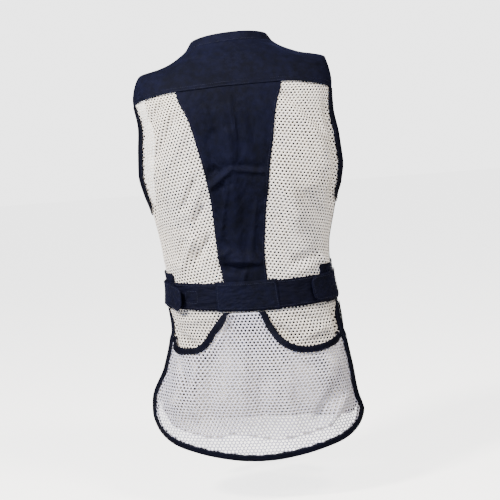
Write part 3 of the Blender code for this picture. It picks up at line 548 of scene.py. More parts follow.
def mottled_group():
    """Make the group for uneven dye and worn spots, and on the navy cloth for patches of painted highlight:
    two colours mixed by two sizes of noise.
    """
    group, given, result = new_group(
        "mottled dye",
        (("Colour", "NodeSocketColor", (0.5, 0.5, 0.5, 1)), ("Other", "NodeSocketColor", (0.5, 0.5, 0.5, 1)),
         ("Broad", "NodeSocketFloat", 8.0), ("Fine", "NodeSocketFloat", 120.0)),
        (("Colour", "NodeSocketColor"), ("Mask", "NodeSocketFloat")),
    )
    where = node_at(group, "ShaderNodeTexCoord").outputs["Object"]
    broad = node_at(group, "ShaderNodeTexNoise", ((where, "Vector"), (given.outputs["Broad"], "Scale")))
    fine = node_at(group, "ShaderNodeTexNoise", ((where, "Vector"), (given.outputs["Fine"], "Scale")))
    both = math_at(group, "ADD", broad.outputs["Fac"], fine.outputs["Fac"])
    mask = node_at(group, "ShaderNodeMapRange", ((both, "Value"),))
    mask.inputs["From Min"].default_value = 0.75
    mask.inputs["From Max"].default_value = 1.25
    mix = node_at(group, "ShaderNodeMix", ((mask.outputs["Result"], 0),), data_type="RGBA")
    group.links.new(given.outputs["Colour"], mix.inputs[6])
    group.links.new(given.outputs["Other"], mix.inputs[7])
    group.links.new(mix.outputs[2], result.inputs["Colour"])
    group.links.new(mask.outputs["Result"], result.inputs["Mask"])
    return group


def yarn_group():
    """Make the group for spun yarn: a fine fuzzy height."""
    inputs = (("Scale", "NodeSocketFloat", 900.0),)
    group, given, result = new_group("spun yarn", inputs, (("Height", "NodeSocketFloat"),))
    where = node_at(group, "ShaderNodeTexCoord").outputs["Object"]
    noise = node_at(group, "ShaderNodeTexNoise", ((where, "Vector"), (given.outputs["Scale"], "Scale")))
    noise.inputs["Detail"].default_value = 3.0
    group.links.new(noise.outputs["Fac"], result.inputs["Height"])
    return group


MOTTLED, YARN = mottled_group(), yarn_group()


def surface(name, colour, other, roughness, sheen=0.0, sheen_tint=(1, 1, 1), broad=8.0, fine=120.0,
            metallic=0.0, gloss=0.1):
    """Start a material with uneven colour, and give back its tree and its shader."""
    material = bpy.data.materials.new(name)
    material.use_nodes = True
    tree = material.node_tree
    shader = tree.nodes["Principled BSDF"]
    # On the navy cloth the second colour mixed in here is a painted highlight.
    dye_and_bloom = node_at(tree, "ShaderNodeGroup", node_tree=MOTTLED)
    dye_and_bloom.inputs["Colour"].default_value = (*colour, 1)
    dye_and_bloom.inputs["Other"].default_value = (*other, 1)
    dye_and_bloom.inputs["Broad"].default_value = broad
    dye_and_bloom.inputs["Fine"].default_value = fine
    tree.links.new(dye_and_bloom.outputs["Colour"], shader.inputs["Base Color"])
    shader.inputs["Roughness"].default_value = roughness
    shader.inputs["Metallic"].default_value = metallic
    shader.inputs["Sheen Weight"].default_value = sheen
    shader.inputs["Sheen Roughness"].default_value = 0.4
    shader.inputs["Sheen Tint"].default_value = (*sheen_tint, 1)
    shader.inputs["Specular IOR Level"].default_value = gloss
    return material, tree, shader


def raise_by(tree, shader, height, strength, distance, over=None):
    """Feed a height into the shader's normal through a bump, on top of another bump if one is given."""
    bump = node_at(tree, "ShaderNodeBump", ((height, "Height"),))
    if over:
        tree.links.new(over.outputs["Normal"], bump.inputs["Normal"])
    bump.inputs["Strength"].default_value = strength
    bump.inputs["Distance"].default_value = distance
    tree.links.new(bump.outputs["Normal"], shader.inputs["Normal"])
    return bump


def net_material(name, colour, other):
    """Make the soft, slightly fuzzy finish of the knitted net."""
    material, tree, shader = surface(name, colour, other, 0.82, sheen=0.25, broad=5.0, fine=260.0)
    yarn = node_at(tree, "ShaderNodeGroup", node_tree=YARN)
    yarn.inputs["Scale"].default_value = 1400.0
    raise_by(tree, shader, yarn.outputs["Height"], 0.35, 0.0004)
    return material


net_white = net_material("off-white net", (0.65, 0.60, 0.53), (0.56, 0.55, 0.56))
# The body layer's net is a darker copy of the same off-white net: painted shade for the layer that lies under
# the pocket layer.
net_inner_painted_shade = net_material("off-white inner net in painted shade", (0.54, 0.50, 0.45), (0.46, 0.455, 0.46))
# The pocket layer's net is a darker, bluer copy of the same off-white net: painted shade with a painted cool
# cast.
net_pocket_painted_cool_shade = net_material("off-white pocket net in painted cool shade", (0.44, 0.44, 0.52), (0.36, 0.37, 0.49))
NET_UNDERLAP = 6.0
NET_CENTRE_LAP, NET_SIDE_LAP = 2.6, 2.0
NET_TILT = math.radians(9)


def net_back_edges(sign):
    """Give the rules that hold inside one net back panel, between its seams and the armhole."""
    return (
        lambda turn, level: turn * sign - centre_edge(level) + NET_CENTRE_LAP,
        lambda turn, level: ARMHOLE["turn"] + NET_SIDE_LAP - turn * sign,
        armhole_away,
        lambda turn, level: level - waist_seam(turn) + NET_UNDERLAP,
        lambda turn, level: yoke_seam(turn) + NET_UNDERLAP - level,
    )


for label, sign in SIDES:
    box = (10, 290, -445, -40) if sign > 0 else (-290, -10, -445, -40)
    panel = knit("net_back_" + label, "mesh_back_" + label, box, -sign * NET_TILT, net_back_edges(sign),
                 0.0, NET_TOP, net_white)

# Lower back. Two layers of the same net: the body layer, which stops short of the hem, and the rear-pocket
# layer over it, cut with two scooped mouths under the belt and standing off the body between them.
scoop_left = level_along((
    (0, -456), (44, -457), (55, -470), (68, -485), (86, -510), (100, -519), (124, -521), (146, -507),
    (158, -492),
))
scoop_right = level_along((
    (0, -456), (27, -457), (33, -476), (46, -500), (68, -516), (90, -521), (112, -518), (136, -509),
    (158, -494),
))
tail_hem = level_along((
    (0, -717), (25, -716), (70, -710), (119, -699), (150, -689), (171, -675), (184, -657), (189, -632),
))
POCKET_DEPTH = 14.0
POCKET = {"side": (0.55, 0.34), "hem": (18.0, 120.0), "centre": (0.08, 0.16), "centre_low": (-560.0, 90.0)}
NET_WALL, LAYER_GAP, INNER_HEM_RISE = 1.6, 0.8, 34.0


def scoop_edge(turn):
    """Give the level of the rear pocket's upper edge, which hangs unlike on the two sides."""
    return np.where(turn > 0, scoop_left(turn), scoop_right(turn))


def faded(value, name):
    """Go from 0 to 1 over one named stretch of the pocket table."""
    start, length = POCKET[name]
    return ease((value - start) / length)


def pocket_low(turn, level):
    """Give where the pocket layer's inner face lies, out from the body."""
    share = np.abs(turn) / vent_back(level)
    sides = 1 - faded(share, "side")
    bottom = faded(level - tail_hem(turn), "hem")
    join = (1 - faded(share, "centre")) * faded(level, "centre_low")
    return NET_WALL + LAYER_GAP + POCKET_DEPTH * sides * bottom * (1 - join)


def inner_hem(turn):
    """Give the uneven lower edge of the body layer."""
    wave = 7 * np.sin(turn * 0.11 + 1.0) + 4 * np.sin(turn * 0.23)
    return tail_hem(turn) + INNER_HEM_RISE + np.clip(wave, -3, 9)


vent_rule = (
    lambda turn, level: vent_back(level) - turn,
    lambda turn, level: vent_back(level) + turn,
)
tail_box = (-245, 245, -735, -405)
inner_net = knit("net_inner_layer", "skirt_inner", tail_box, 0.0, vent_rule + (
    lambda turn, level: level - inner_hem(turn),
    lambda turn, level: waist_seam(turn) - 1.0 - level,
), 0.0, NET_TOP, net_inner_painted_shade)
pocket_net = knit("net_rear_pocket", "skirt_outer", tail_box, 0.0, vent_rule + (
    lambda turn, level: level - tail_hem(turn),
    lambda turn, level: scoop_edge(turn) - level,
), pocket_low, NET_TOP, net_pocket_painted_cool_shade, POCKET_HOLE)

# Centre back panel. One piece of navy cotton twill, wide at the yoke and narrow at the belt, laid over the
# edges of the two nets and topstitched just inside its own edges.
FORM_LOW, FORM_HIGH = -760.0, 58.0
TWILL_LOW, TWILL_HIGH = 1.0, 2.0


def halve(excess, shape):
    """Find the level where a falling function of it passes zero, for a whole array at once."""
    low, high = np.full(shape, FORM_LOW), np.full(shape, FORM_HIGH)
    for _ in range(36):
        middle = (low + high) / 2
        is_above = excess(middle) < 0
        high = np.where(is_above, middle, high)
        low = np.where(is_above, low, middle)
    return (low + high) / 2


def patch(left, right, bottom, top, columns, rows):
    """Spread an even lattice of turns and levels between two side edges, a bottom and a top."""
    across = np.linspace(0, 1, columns)[None, :]
    up = np.linspace(0, 1, rows)[:, None]

    def turn_of(level):
        return left(level) + across * (right(level) - left(level))

    def excess(level):
        turn = turn_of(level)
        low = bottom(turn)
        return low + up * (top(turn) - low) - level

    level = halve(excess, (rows, columns))
    return turn_of(level), level


RIPPLE_SEED = np.random.default_rng(21)
RIPPLES = [(RIPPLE_SEED.normal(0, 1, 3) * (0.11, 0.11, 0.05), RIPPLE_SEED.uniform(0, 6.3)) for _ in range(9)]


def ripple(spot):
    """Give the small uneven waves of cloth that was worn and washed, from -1 to 1."""
    total = sum(np.sin(spot @ wave + phase) for wave, phase in RIPPLES)
    return total / 4.0


def border_of(rows, columns):
    """List the rows and columns of a lattice's border, once round it."""
    border = [(0, c) for c in range(columns)]
    border += [(r, columns - 1) for r in range(1, rows)]
    border += [(rows - 1, c) for c in range(columns - 2, -1, -1)]
    border += [(r, 0) for r in range(rows - 2, 0, -1)]
    return np.array(border).T


def cloth(name, nodes, lattice, low, high, material, waves=0.0):
    """Make a thin sewn piece between two distances out of the body, with rounded edges."""
    turn, level = lattice
    rows, columns = turn.shape
    low, high = np.broadcast_to(low, turn.shape), np.broadcast_to(high, turn.shape)
    shift = waves * ripple(body(turn, level)) if waves else 0.0
    inner, outer = place(turn, level, low + shift), place(turn, level, high + shift)
    middle = (inner + outer) / 2
    row, column = border_of(rows, columns)
    inside = middle[np.clip(row, 1, rows - 2), np.clip(column, 1, columns - 2)]
    edge = middle[row, column]
    way = edge - inside
    way /= np.linalg.norm(way, axis=-1, keepdims=True)
    thick = np.linalg.norm(outer - inner, axis=-1)[row, column][:, None]
    rim = edge + way * thick * 0.4
    vertices = np.concatenate([inner.reshape(-1, 3), outer.reshape(-1, 3), rim])
    grid = np.arange(rows * columns).reshape(rows, columns)
    quads = np.stack([grid[:-1, :-1], grid[1:, :-1], grid[1:, 1:], grid[:-1, 1:]], axis=-1).reshape(-1, 4)
    ring_in = grid[row, column]
    ring_rim = 2 * rows * columns + np.arange(len(row))
    ring_out = ring_in + rows * columns
    upper = (quads + rows * columns).tolist()
    lower = quads[:, ::-1].tolist()
    sides = joined(ring_in, ring_rim) + joined(ring_rim, ring_out)
    if turned_in(vertices, upper[len(upper) // 2]):
        upper, lower = [face[::-1] for face in upper], [face[::-1] for face in lower]
    piece = build(name, vertices, upper + lower + sides, material, nodes)
    face_out(piece)
    return piece


def face_out(piece):
    """Turn every face of a closed piece outwards."""
    data = bmesh.new()
    data.from_mesh(piece.data)
    bmesh.ops.recalc_face_normals(data, faces=data.faces)
    data.to_mesh(piece.data)
    data.free()


def twill_group():
    """Make the group for twill: fine slanting ribs round the body, with slubs."""
    group, given, result = new_group(
        "twill weave", (("Rib", "NodeSocketFloat", 0.0011), ("Girth", "NodeSocketFloat", 0.15)),
        (("Height", "NodeSocketFloat"),),
    )
    where = node_at(group, "ShaderNodeTexCoord").outputs["Object"]
    parts = node_at(group, "ShaderNodeSeparateXYZ", ((where, 0),))
    angle = math_at(group, "ARCTAN2", parts.outputs["X"], parts.outputs["Y"])
    around = math_at(group, "MULTIPLY", angle, given.outputs["Girth"])
    slant = math_at(group, "ADD", around, parts.outputs["Z"])
    wave = math_at(group, "SINE", math_at(group, "DIVIDE", slant, given.outputs["Rib"]))
    slub = node_at(group, "ShaderNodeTexNoise", ((where, "Vector"),))
    slub.inputs["Scale"].default_value = 420.0
    group.links.new(math_at(group, "ADD", wave, slub.outputs["Fac"]), result.inputs["Height"])
    return group


TWILL = twill_group()
NAVY_SHINE = (0.62, 0.66, 1.0, 1)
RUMPLE = {"scale": 9.0, "distortion": 0.2, "strength": 0.3, "height": 0.012}


def weave_in(tree, shader, rib, strength, over=None):
    """Raise the ribs of a twill weave on a material."""
    weave = node_at(tree, "ShaderNodeGroup", node_tree=TWILL)
    weave.inputs["Rib"].default_value = rib
    raise_by(tree, shader, weave.outputs["Height"], strength, 0.0002, over)


def twill_material(name, colour, other, sheen, rib=0.00018):
    """Make navy cotton twill: dark, matt, with a bluish bloom where it turns to the light; its lighter bluish
    second colour lays broad patches of painted highlight.
    """
    material, tree, shader = surface(name, colour, other, 0.72, sheen, (0.25, 0.30, 0.95), broad=14.0,
                                     fine=90.0, gloss=0.07)
    shader.inputs["Specular Tint"].default_value = NAVY_SHINE
    rumple = node_at(tree, "ShaderNodeTexNoise", noise_dimensions="3D")
    rumple.inputs["Scale"].default_value = RUMPLE["scale"]
    rumple.inputs["Detail"].default_value = 1.0
    rumple.inputs["Distortion"].default_value = RUMPLE["distortion"]
    rumples = raise_by(tree, shader, rumple.outputs["Fac"], RUMPLE["strength"], RUMPLE["height"])
    weave_in(tree, shader, rib, 0.3, rumples)
    return material


# The lighter bluish second colours of the twill and the webbing lay broad patches of painted highlight.
navy_twill = twill_material("navy twill", (0.0005, 0.0007, 0.0024), (0.0014, 0.0018, 0.0074), 0.02)
navy_thread = surface("navy thread", (0.0120, 0.0140, 0.0300), (0.0070, 0.0080, 0.0190), 0.5, 0.02)[0]
THREAD_REST = 0.1


def walked(path):
    """Give the way walked along a path to each of its points."""
    return np.concatenate([[0], np.cumsum(np.linalg.norm(np.diff(path, axis=0), axis=1))])


def along_path(spot, walk, path):
    """Read a path, or its normals, at ways walked."""
    return np.stack([np.interp(spot, walk, path[:, k]) for k in range(3)], axis=-1)


def sewn_line(turn, level, out, every=3.4, length=2.5, radius=0.26):
    """Lay one row of stitches along a line on the form, each a short rounded thread."""
    path = place(turn, level, out)
    normal = outward(turn, level)
    walk = walked(path)
    vertices, faces = [], []
    stations = ((0.0, 0.3, -0.35), (0.22, 1.0, 0.05), (0.78, 1.0, 0.05), (1.0, 0.3, -0.35))
    for start in np.arange(every / 2, walk[-1] - length, every):
        at = start + np.array([s[0] for s in stations]) * length
        middle, up = along_path(at, walk, path), along_path(start, walk, normal)
        up /= np.linalg.norm(up)
        along = middle[-1] - middle[0]
        side = np.cross(along, up)
        side /= np.linalg.norm(side)
        base = len(vertices)
        for spot, (_, size, rise) in zip(middle, stations):
            core = spot + up * rise * radius
            for x, y in ((1, 0), (0, 1), (-1, 0), (0, -1)):
                vertices.append(core + (side * x + up * y) * radius * size)
        for k in range(3):
            for i in range(4):
                a, b = base + 4 * k + i, base + 4 * k + (i + 1) % 4
                faces.append((a, a + 4, b + 4, b))
        faces.append((base, base + 1, base + 2, base + 3))
        faces.append((base + 15, base + 14, base + 13, base + 12))
    return vertices, faces


def stitching(name, lines):
    """Join rows of stitches into one piece of thread work."""
    vertices, faces = [], []
    for line in lines:
        more, sides = sewn_line(*line)
        faces += [tuple(len(vertices) + i for i in side) for side in sides]
        vertices += more
    build(name, np.array(vertices), faces, navy_thread)


centre_twill = cloth("centre_back_twill", ("centre_back",), patch(
    lambda v: -centre_edge(v), centre_edge, lambda t: waist_seam(t) - 1, lambda t: yoke_seam(t) + 7, 85, 201,
), TWILL_LOW, TWILL_HIGH - 0.1, navy_twill, waves=0.35)
CENTRE_SEAM = {"levels": (-402, -64), "inset": 1.1}
rise = np.linspace(*CENTRE_SEAM["levels"], 150)
stitching("centre_back_stitches", [
    (side * (centre_edge(rise) - CENTRE_SEAM["inset"]), rise, TWILL_HIGH) for side in (-1, 1)
])

# Yoke. One piece of doubled navy twill over both shoulders, down to the front seams. Two rows of topstitching
# hold its lower edge, and one row runs round each armhole.
FRONT_CORNER, NECK_FOOT = -84.0, 20.0
FRONT_SEAM_TURNS = (123, 130)


def armhole_turn(level, side):
    """Give the turn of the armhole's back or front edge at a level."""
    share = np.clip(np.abs(level - ARMHOLE_MIDDLE) / ARMHOLE_HALF, 0, 1)
    opening = (1 - share ** ARMHOLE["roundness"]) ** (1 / ARMHOLE["roundness"])
    return ARMHOLE["turn"] + (-1 if side == "back" else 1) * ARMHOLE[side] * opening


def armhole_top(turn):
    """Give the level of the armhole's upper edge at a turn."""
    away = turn - ARMHOLE["turn"]
    share = np.clip(np.abs(away) / np.where(away < 0, ARMHOLE["back"], ARMHOLE["front"]), 0, 1)
    return ARMHOLE_MIDDLE + ARMHOLE_HALF * (1 - share ** ARMHOLE["roundness"]) ** (1 / ARMHOLE["roundness"])


def front_seam(level):
    """Give the turn of the yoke's front seam, from the armhole in to the neckline."""
    levels = (FRONT_CORNER, (FRONT_CORNER + NECK_FOOT) / 2, NECK_FOOT)
    return trend(levels, (float(armhole_turn(FRONT_CORNER, "front")), *FRONT_SEAM_TURNS), level)


yoke_levels = np.linspace(-120, -60, 400)
yoke_gap = yoke_seam(armhole_turn(yoke_levels, "back")) - yoke_levels
BACK_CORNER_LEVEL = float(yoke_levels[np.argmin(np.abs(yoke_gap))])
BACK_CORNER_TURN = float(armhole_turn(BACK_CORNER_LEVEL, "back"))
FRONT_CORNER_TURN = float(front_seam(FRONT_CORNER))


def yoke_edge(turn):
    """Give the yoke's lower edge: the back seam, then up and over the armhole."""
    size = np.abs(turn)
    over = armhole_top(np.clip(size, BACK_CORNER_TURN, FRONT_CORNER_TURN))
    over = np.where(size < FRONT_CORNER_TURN, over, FRONT_CORNER)
    return np.where(size <= BACK_CORNER_TURN, yoke_seam(size), over)


def yoke_lattice(rows):
    """Spread the yoke's lattice, closer together where its edge bends at the armhole."""
    share = 1 - np.cos(np.linspace(0, np.pi, 61))
    tip = BACK_CORNER_TURN + (FRONT_CORNER_TURN - BACK_CORNER_TURN) * share / 2
    half = np.concatenate([np.linspace(0, BACK_CORNER_TURN, 45)[1:], tip[1:]])
    turns = np.concatenate([-half[::-1], [0.0], half])
    low = yoke_edge(turns)
    reach = front_seam(low)
    across = (turns / reach)[None, :]
    up = np.linspace(0, 1, rows)[:, None]

    def excess(level):
        edge = yoke_edge(across * front_seam(level))
        return edge + up * (NECK_FOOT - edge) - level

    level = halve(excess, (rows, turns.size))
    turn = across * front_seam(level)
    turn[0], level[0] = turns, low
    return turn, level


YOKE_LOW, YOKE_HIGH = 2.05, 3.2
yoke_spread = yoke_lattice(34)
yoke_cloth = cloth("yoke_twill", ("yoke",), yoke_spread, YOKE_LOW, YOKE_HIGH, navy_twill, waves=0.3)
seam_turns = np.linspace(-BACK_CORNER_TURN + 1, BACK_CORNER_TURN - 1, 260)
yoke_lines = [(seam_turns, yoke_seam(seam_turns) + inset, YOKE_HIGH) for inset in (2.0, 8.0)]
for row in (1, 2):
    keep = np.abs(yoke_spread[0][0]) > BACK_CORNER_TURN
    for side in (-1, 1):
        picked = keep & (yoke_spread[0][0] * side > 0)
        yoke_lines.append((yoke_spread[0][row, picked], yoke_spread[1][row, picked], YOKE_HIGH))
stitching("yoke_stitches", yoke_lines)

# Fronts. Two plain navy twill fronts from the yoke and the neckline to the hem, hidden in the photograph and
# finished plainly: a row of stitches along the zip and along the side seam.
FRONT_HEM = ((90, -622), (96, -650), (104, -664), (116, -674), (145, -682), (180, -684))
VENT_FRONT = ((-722, 88), (-640, 90), (-560, 91), (-500, 91.5), (-455, 91), (-430, 90))
VENT_TOP, FRONT_GAP = -430.0, 4.0


def front_side(level):
    """Give the outer edge of a front: the vent, the side seam, the armhole, then the yoke's seam."""
    vent = trend(*zip(*VENT_FRONT), level)
    edge = np.where(level > ARMHOLE["bottom"], armhole_turn(level, "front"), ARMHOLE["turn"])
    edge = np.where(level > FRONT_CORNER, front_seam(level) - 1.5, edge)
    return np.where(level < VENT_TOP, vent, edge)


def front_hem(turn):
    """Give the level of a front's hem."""
    return trend(*zip(*FRONT_HEM), turn)


def zip_edge(level, reach):
    """Give the turn where a front ends, so many millimetres from its centre line."""
    return 180 - turn_at(reach, level)


def mirrored(lattice):
    """Turn a lattice of the wearer's left into one of the right."""
    turn, level = lattice
    return -turn[:, ::-1], level[:, ::-1]


front_spread = patch(front_side, lambda v: zip_edge(v, FRONT_GAP), front_hem,
                     lambda t: np.full_like(t, NECK_FOOT), 45, 190)
for label, lattice in (("left", front_spread), ("right", mirrored(front_spread))):
    front_cloth = cloth("front_twill_" + label, ("front_" + label,), lattice, TWILL_LOW - 0.05,
                        TWILL_HIGH - 0.1, navy_twill, waves=0.35)
FLY_SEAM = {"levels": (-676, 12), "inset": 7.0}
FLANK_SEAM = {"levels": (-420, -276), "turn": 91.2}
fly, flank = np.linspace(*FLY_SEAM["levels"], 240), np.linspace(*FLANK_SEAM["levels"], 60)
front_lines = [(side * zip_edge(fly, FRONT_GAP + FLY_SEAM["inset"]), fly, TWILL_HIGH) for side in (-1, 1)]
front_lines += [(side * FLANK_SEAM["turn"], flank, TWILL_HIGH) for side in (-1, 1)]
stitching("front_stitches", front_lines)

# Neck band. A narrow folded band of navy twill that stands round the neckline, sewn on along its foot with
# one row of stitches. Its two ends stop beside the zip.
NECK_TOP = 37.0
band_half = np.concatenate([np.linspace(0, 174, 120)[1:], [float(zip_edge(NECK_FOOT, FRONT_GAP))]])
band_turns = np.concatenate([-band_half[::-1], [0.0], band_half])
BAND_PROFILE = ((0.0, -0.3), (0.45, -0.3), (0.9, -0.1), (1.0, 0.5), (1.02, 1.2), (1.0, 1.9), (0.9, 2.45),
                (0.45, 2.7), (0.06, 2.6), (0.0, 2.3))


def tube(name, nodes, rings, material):
    """Join rings of points, one after another, into a closed piece with capped ends."""
    count = rings.shape[1]
    grid = np.arange(rings.shape[0] * count).reshape(-1, count)
    faces = joined(grid[:-1], grid[1:]) + [grid[0].tolist()[::-1], grid[-1].tolist()]
    piece = build(name, rings.reshape(-1, 3), faces, material, nodes)
    face_out(piece)
    return piece


BAND_SEAM = {"foot": 0.3, "rise": 2.2, "out": 2.75}
band_rows = [(BAND_SEAM["foot"] + share * (NECK_TOP - NECK_FOOT), out) for share, out in BAND_PROFILE]
band_rings = np.stack([place(band_turns, NECK_FOOT + up, out) for up, out in band_rows], axis=1)
neck_cloth = tube("neck_band_twill", ("neck_band",), band_rings, navy_twill)
stitching("neck_band_stitches", [(band_turns[2:-2], NECK_FOOT + BAND_SEAM["rise"], BAND_SEAM["out"])])

# Bindings. Navy tape folded over the raw edges of the armholes, the tail and the fronts, and laid over the
# pocket's mouths, sewn near its inner edge. The thread draws it in, so its edge is slightly uneven.
TAPE_WIDTH, TAPE_CLEARANCE, TAPE_WALL = 10.0, 0.9, 0.8
# The tape's lighter bluish second colour lays patches of painted highlight, as on the twill.
tape_cloth, tape_tree, tape_shader = surface(
    "navy tape", (0.0004, 0.0005, 0.0018), (0.0009, 0.0011, 0.0042), 0.6, 0.01, (0.4, 0.42, 0.7),
    broad=20.0, fine=150.0, gloss=0.055)
tape_shader.inputs["Specular Tint"].default_value = NAVY_SHINE
weave_in(tape_tree, tape_shader, 0.00014, 0.25)


def inward_step(turn, level, side):
    """Give the change in turn and level for one millimetre into the cloth from its edge."""
    tangent = np.gradient(body(turn, level), axis=0)
    way = np.cross(tangent, outward(turn, level)) * side
    way /= np.linalg.norm(way, axis=-1, keepdims=True)
    by_turn, by_level = slopes(turn, level)
    pairs = ((by_turn, by_turn), (by_turn, by_level), (by_level, by_level))
    e, f, g = (np.sum(a * b, axis=-1) for a, b in pairs)
    p, q = np.sum(way * by_turn, axis=-1), np.sum(way * by_level, axis=-1)
    size = e * g - f * f
    return (p * g - q * f) / size, (q * e - p * f) / size


def binding(name, node, turn, level, side, low, high, wraps=True, square_at=None):
    """Fold a tape over an edge, with a soft puckered outer face and a row of stitches."""
    by_turn, by_level = inward_step(turn, level, side)
    if square_at is not None:
        by_level = by_level * ease((square_at - level) / TAPE_WIDTH)
    low, high = np.broadcast_to(low, turn.shape), np.broadcast_to(high, turn.shape)
    walk = walked(body(turn, level))
    pucker = 0.22 * np.sin(walk * 0.9) + 0.18 * np.sin(walk * 0.37 + 1.0)
    width = TAPE_WIDTH + 0.35 * np.sin(walk * 0.21 + 2.0) + 0.25 * np.sin(walk * 0.57)
    near, far = high + TAPE_CLEARANCE, high + TAPE_CLEARANCE + TAPE_WALL
    under, deep = low - TAPE_CLEARANCE, low - TAPE_CLEARANCE - TAPE_WALL
    rim, face = -TAPE_CLEARANCE, -TAPE_CLEARANCE - TAPE_WALL
    middle = (high + low) / 2
    outer = [(width, near), (width, far - 0.3), (width - 0.7, far), (width * 0.72, far + 0.1),
             (width * 0.45, far + 0.35 + pucker), (1.5, far + 0.25), (rim, far - 0.05), (face + 0.15, near),
             (face, middle if wraps else low + 0.4)]
    if wraps:
        rows = outer + [(face + 0.15, under), (rim, deep + 0.05), (width * 0.5, deep - 0.2),
                        (width - 0.6, deep), (width, deep + 0.3), (width, under), (0.0, under),
                        (rim + 0.2, middle), (0.0, near)]
    else:
        rows = outer + [(face + 0.2, low), (rim, low), (rim + 0.1, near - 0.2), (0.3, near)]
    rings = np.stack([place(turn + by_turn * a, level + by_level * a, b) for a, b in rows], axis=1)
    piece = tube(name, (node,), rings, tape_cloth)
    inset = width - 1.9
    line = (turn + by_turn * inset, level + by_level * inset, far + THREAD_REST)
    stitching(name.replace("tape", "stitches"), [line])


def even_run(turn, level, count, form=body):
    """Space the points of a path evenly along the cloth."""
    walk = walked(form(turn, level))
    spots = np.linspace(0, walk[-1], count)
    return np.interp(spots, walk, turn), np.interp(spots, walk, level)


def oval_angle(level):
    """Give the angle round the armhole's oval that reaches a level above its middle."""
    return np.arcsin(((level - ARMHOLE_MIDDLE) / ARMHOLE_HALF) ** (ARMHOLE["roundness"] / 2))


SEAM_CLEAR = 1.0
oval = np.linspace(np.pi - oval_angle(BACK_CORNER_LEVEL - SEAM_CLEAR),
                   2 * np.pi + oval_angle(FRONT_CORNER - SEAM_CLEAR), 200)
oval_power = 2 / ARMHOLE["roundness"]
oval_x = np.sign(np.cos(oval)) * np.abs(np.cos(oval)) ** oval_power
oval_y = np.sign(np.sin(oval)) * np.abs(np.sin(oval)) ** oval_power
hole_turn = ARMHOLE["turn"] + np.where(oval_x < 0, ARMHOLE["back"], ARMHOLE["front"]) * oval_x
hole_level = ARMHOLE_MIDDLE + ARMHOLE_HALF * oval_y
hole_turn, hole_level = even_run(hole_turn, hole_level, 150, place)
binding("armhole_tape_left", "armhole_binding_left", hole_turn, hole_level, -1, -0.2, 2.0)
binding("armhole_tape_right", "armhole_binding_right", -hole_turn, hole_level, 1, -0.2, 2.0)


def meeting(edge, first, last):
    """Find the level where the vent's side edge meets another edge."""
    levels = np.linspace(first, last, 2000)
    return float(levels[np.argmin(np.abs(edge(vent_back(levels)) - levels))])


TAIL = {"top": -450.0, "over_mouth": 4.0, "layers_fade": 14.0, "corner": -676.0, "corner_fade": 30.0}
FRONT_TAPE_TOP = -454.0
MOUTH = {"from_across": {"left": 43.0, "right": 26.5}, "to_share": 0.905, "top": -454.2, "level": -457.0}
corner_level = meeting(tail_hem, -660, -600)
mouth_level = meeting(scoop_left, -520, -470)
down = np.linspace(TAIL["top"], corner_level, 60)
hem_turns = np.linspace(float(vent_back(corner_level)), -float(vent_back(corner_level)), 200)[1:-1]
tail_turn = np.concatenate([vent_back(down), hem_turns, -vent_back(down[::-1])])
tail_level = np.concatenate([down, tail_hem(hem_turns), down[::-1]])
tail_turn, tail_level = even_run(tail_turn, tail_level, 330)
pocket_at = pocket_low(tail_turn, tail_level)
two_layers = ease((mouth_level + TAIL["over_mouth"] - tail_level) / TAIL["layers_fade"])
tail_high = NET_WALL + pocket_at * two_layers
tail_low = pocket_at * (1 - ease((tail_level - TAIL["corner"]) / TAIL["corner_fade"]))
binding("tail_tape", "tail_binding", tail_turn, tail_level, -1, tail_low, tail_high)
for label, side in SIDES:
    first_turn = float(turn_at(MOUTH["from_across"][label], MOUTH["level"]))
    mouth_turn = np.linspace(first_turn, MOUTH["to_share"] * float(vent_back(mouth_level)), 400)
    mouth_turn, mouth_levels = even_run(
        np.concatenate([[first_turn - 0.3], mouth_turn]),
        np.concatenate([[MOUTH["top"]], scoop_edge(side * mouth_turn)]), 80)
    mouth_low = pocket_low(side * mouth_turn, mouth_levels)
    binding("mouth_tape_" + label, "scoop_binding_" + label, side * mouth_turn, mouth_levels, -side,
            mouth_low, mouth_low + NET_WALL, wraps=False, square_at=MOUTH["top"])
    vent = np.linspace(FRONT_TAPE_TOP, float(front_spread[1][0, 0]), 60)
    vent_turn = front_side(vent)
    hem_turn = np.linspace(float(vent_turn[-1]), float(front_spread[0][0, -1]), 60)[1:]
    run_turn = np.concatenate([vent_turn, hem_turn])
    run_level = np.concatenate([vent, front_hem(hem_turn)])
    run_turn, run_level = even_run(run_turn, run_level, 120)
    binding("front_tape_" + label, "front_binding_" + label, side * run_turn, run_level, side, -0.5, 2.5)

# Belt. Navy webbing round the back waist, stitched along both edges, with a wide bare loop of twill at the
# centre that it runs through, and a small stitched box on the wearer's left.
BELT_HIGH, BELT_WALL, BELT_REST, OVER_ANCHOR = 48.0, 1.8, 1.0, 3.7
OVER_STEP = {"from": 48.0, "length": 6.0}
BELT_REACH, BELT_SEAM = 76, 20.5


def belt_middle(turn):
    """Give the level of the belt's middle line."""
    return waist_seam(turn) + 1.0


def band(turns, bottom, top, rows):
    """Make a lattice between two heights above the belt's middle line."""
    share = np.linspace(0, 1, rows)[:, None]
    return np.ones((rows, 1)) * turns[None, :], belt_middle(turns) + bottom + share * (top - bottom)


def belt_low(turn):
    """Give how far out the belt's inner face lies, with its step over the side anchors."""
    step = ease((np.abs(turn) - OVER_STEP["from"]) / OVER_STEP["length"])
    return TWILL_HIGH + BELT_REST + step * (OVER_ANCHOR - BELT_REST)


def on_belt(turn, rise):
    """Give a line of thread on the belt's outer face, so far above its middle."""
    return turn, belt_middle(turn) + rise, belt_low(turn) + BELT_WALL + THREAD_REST


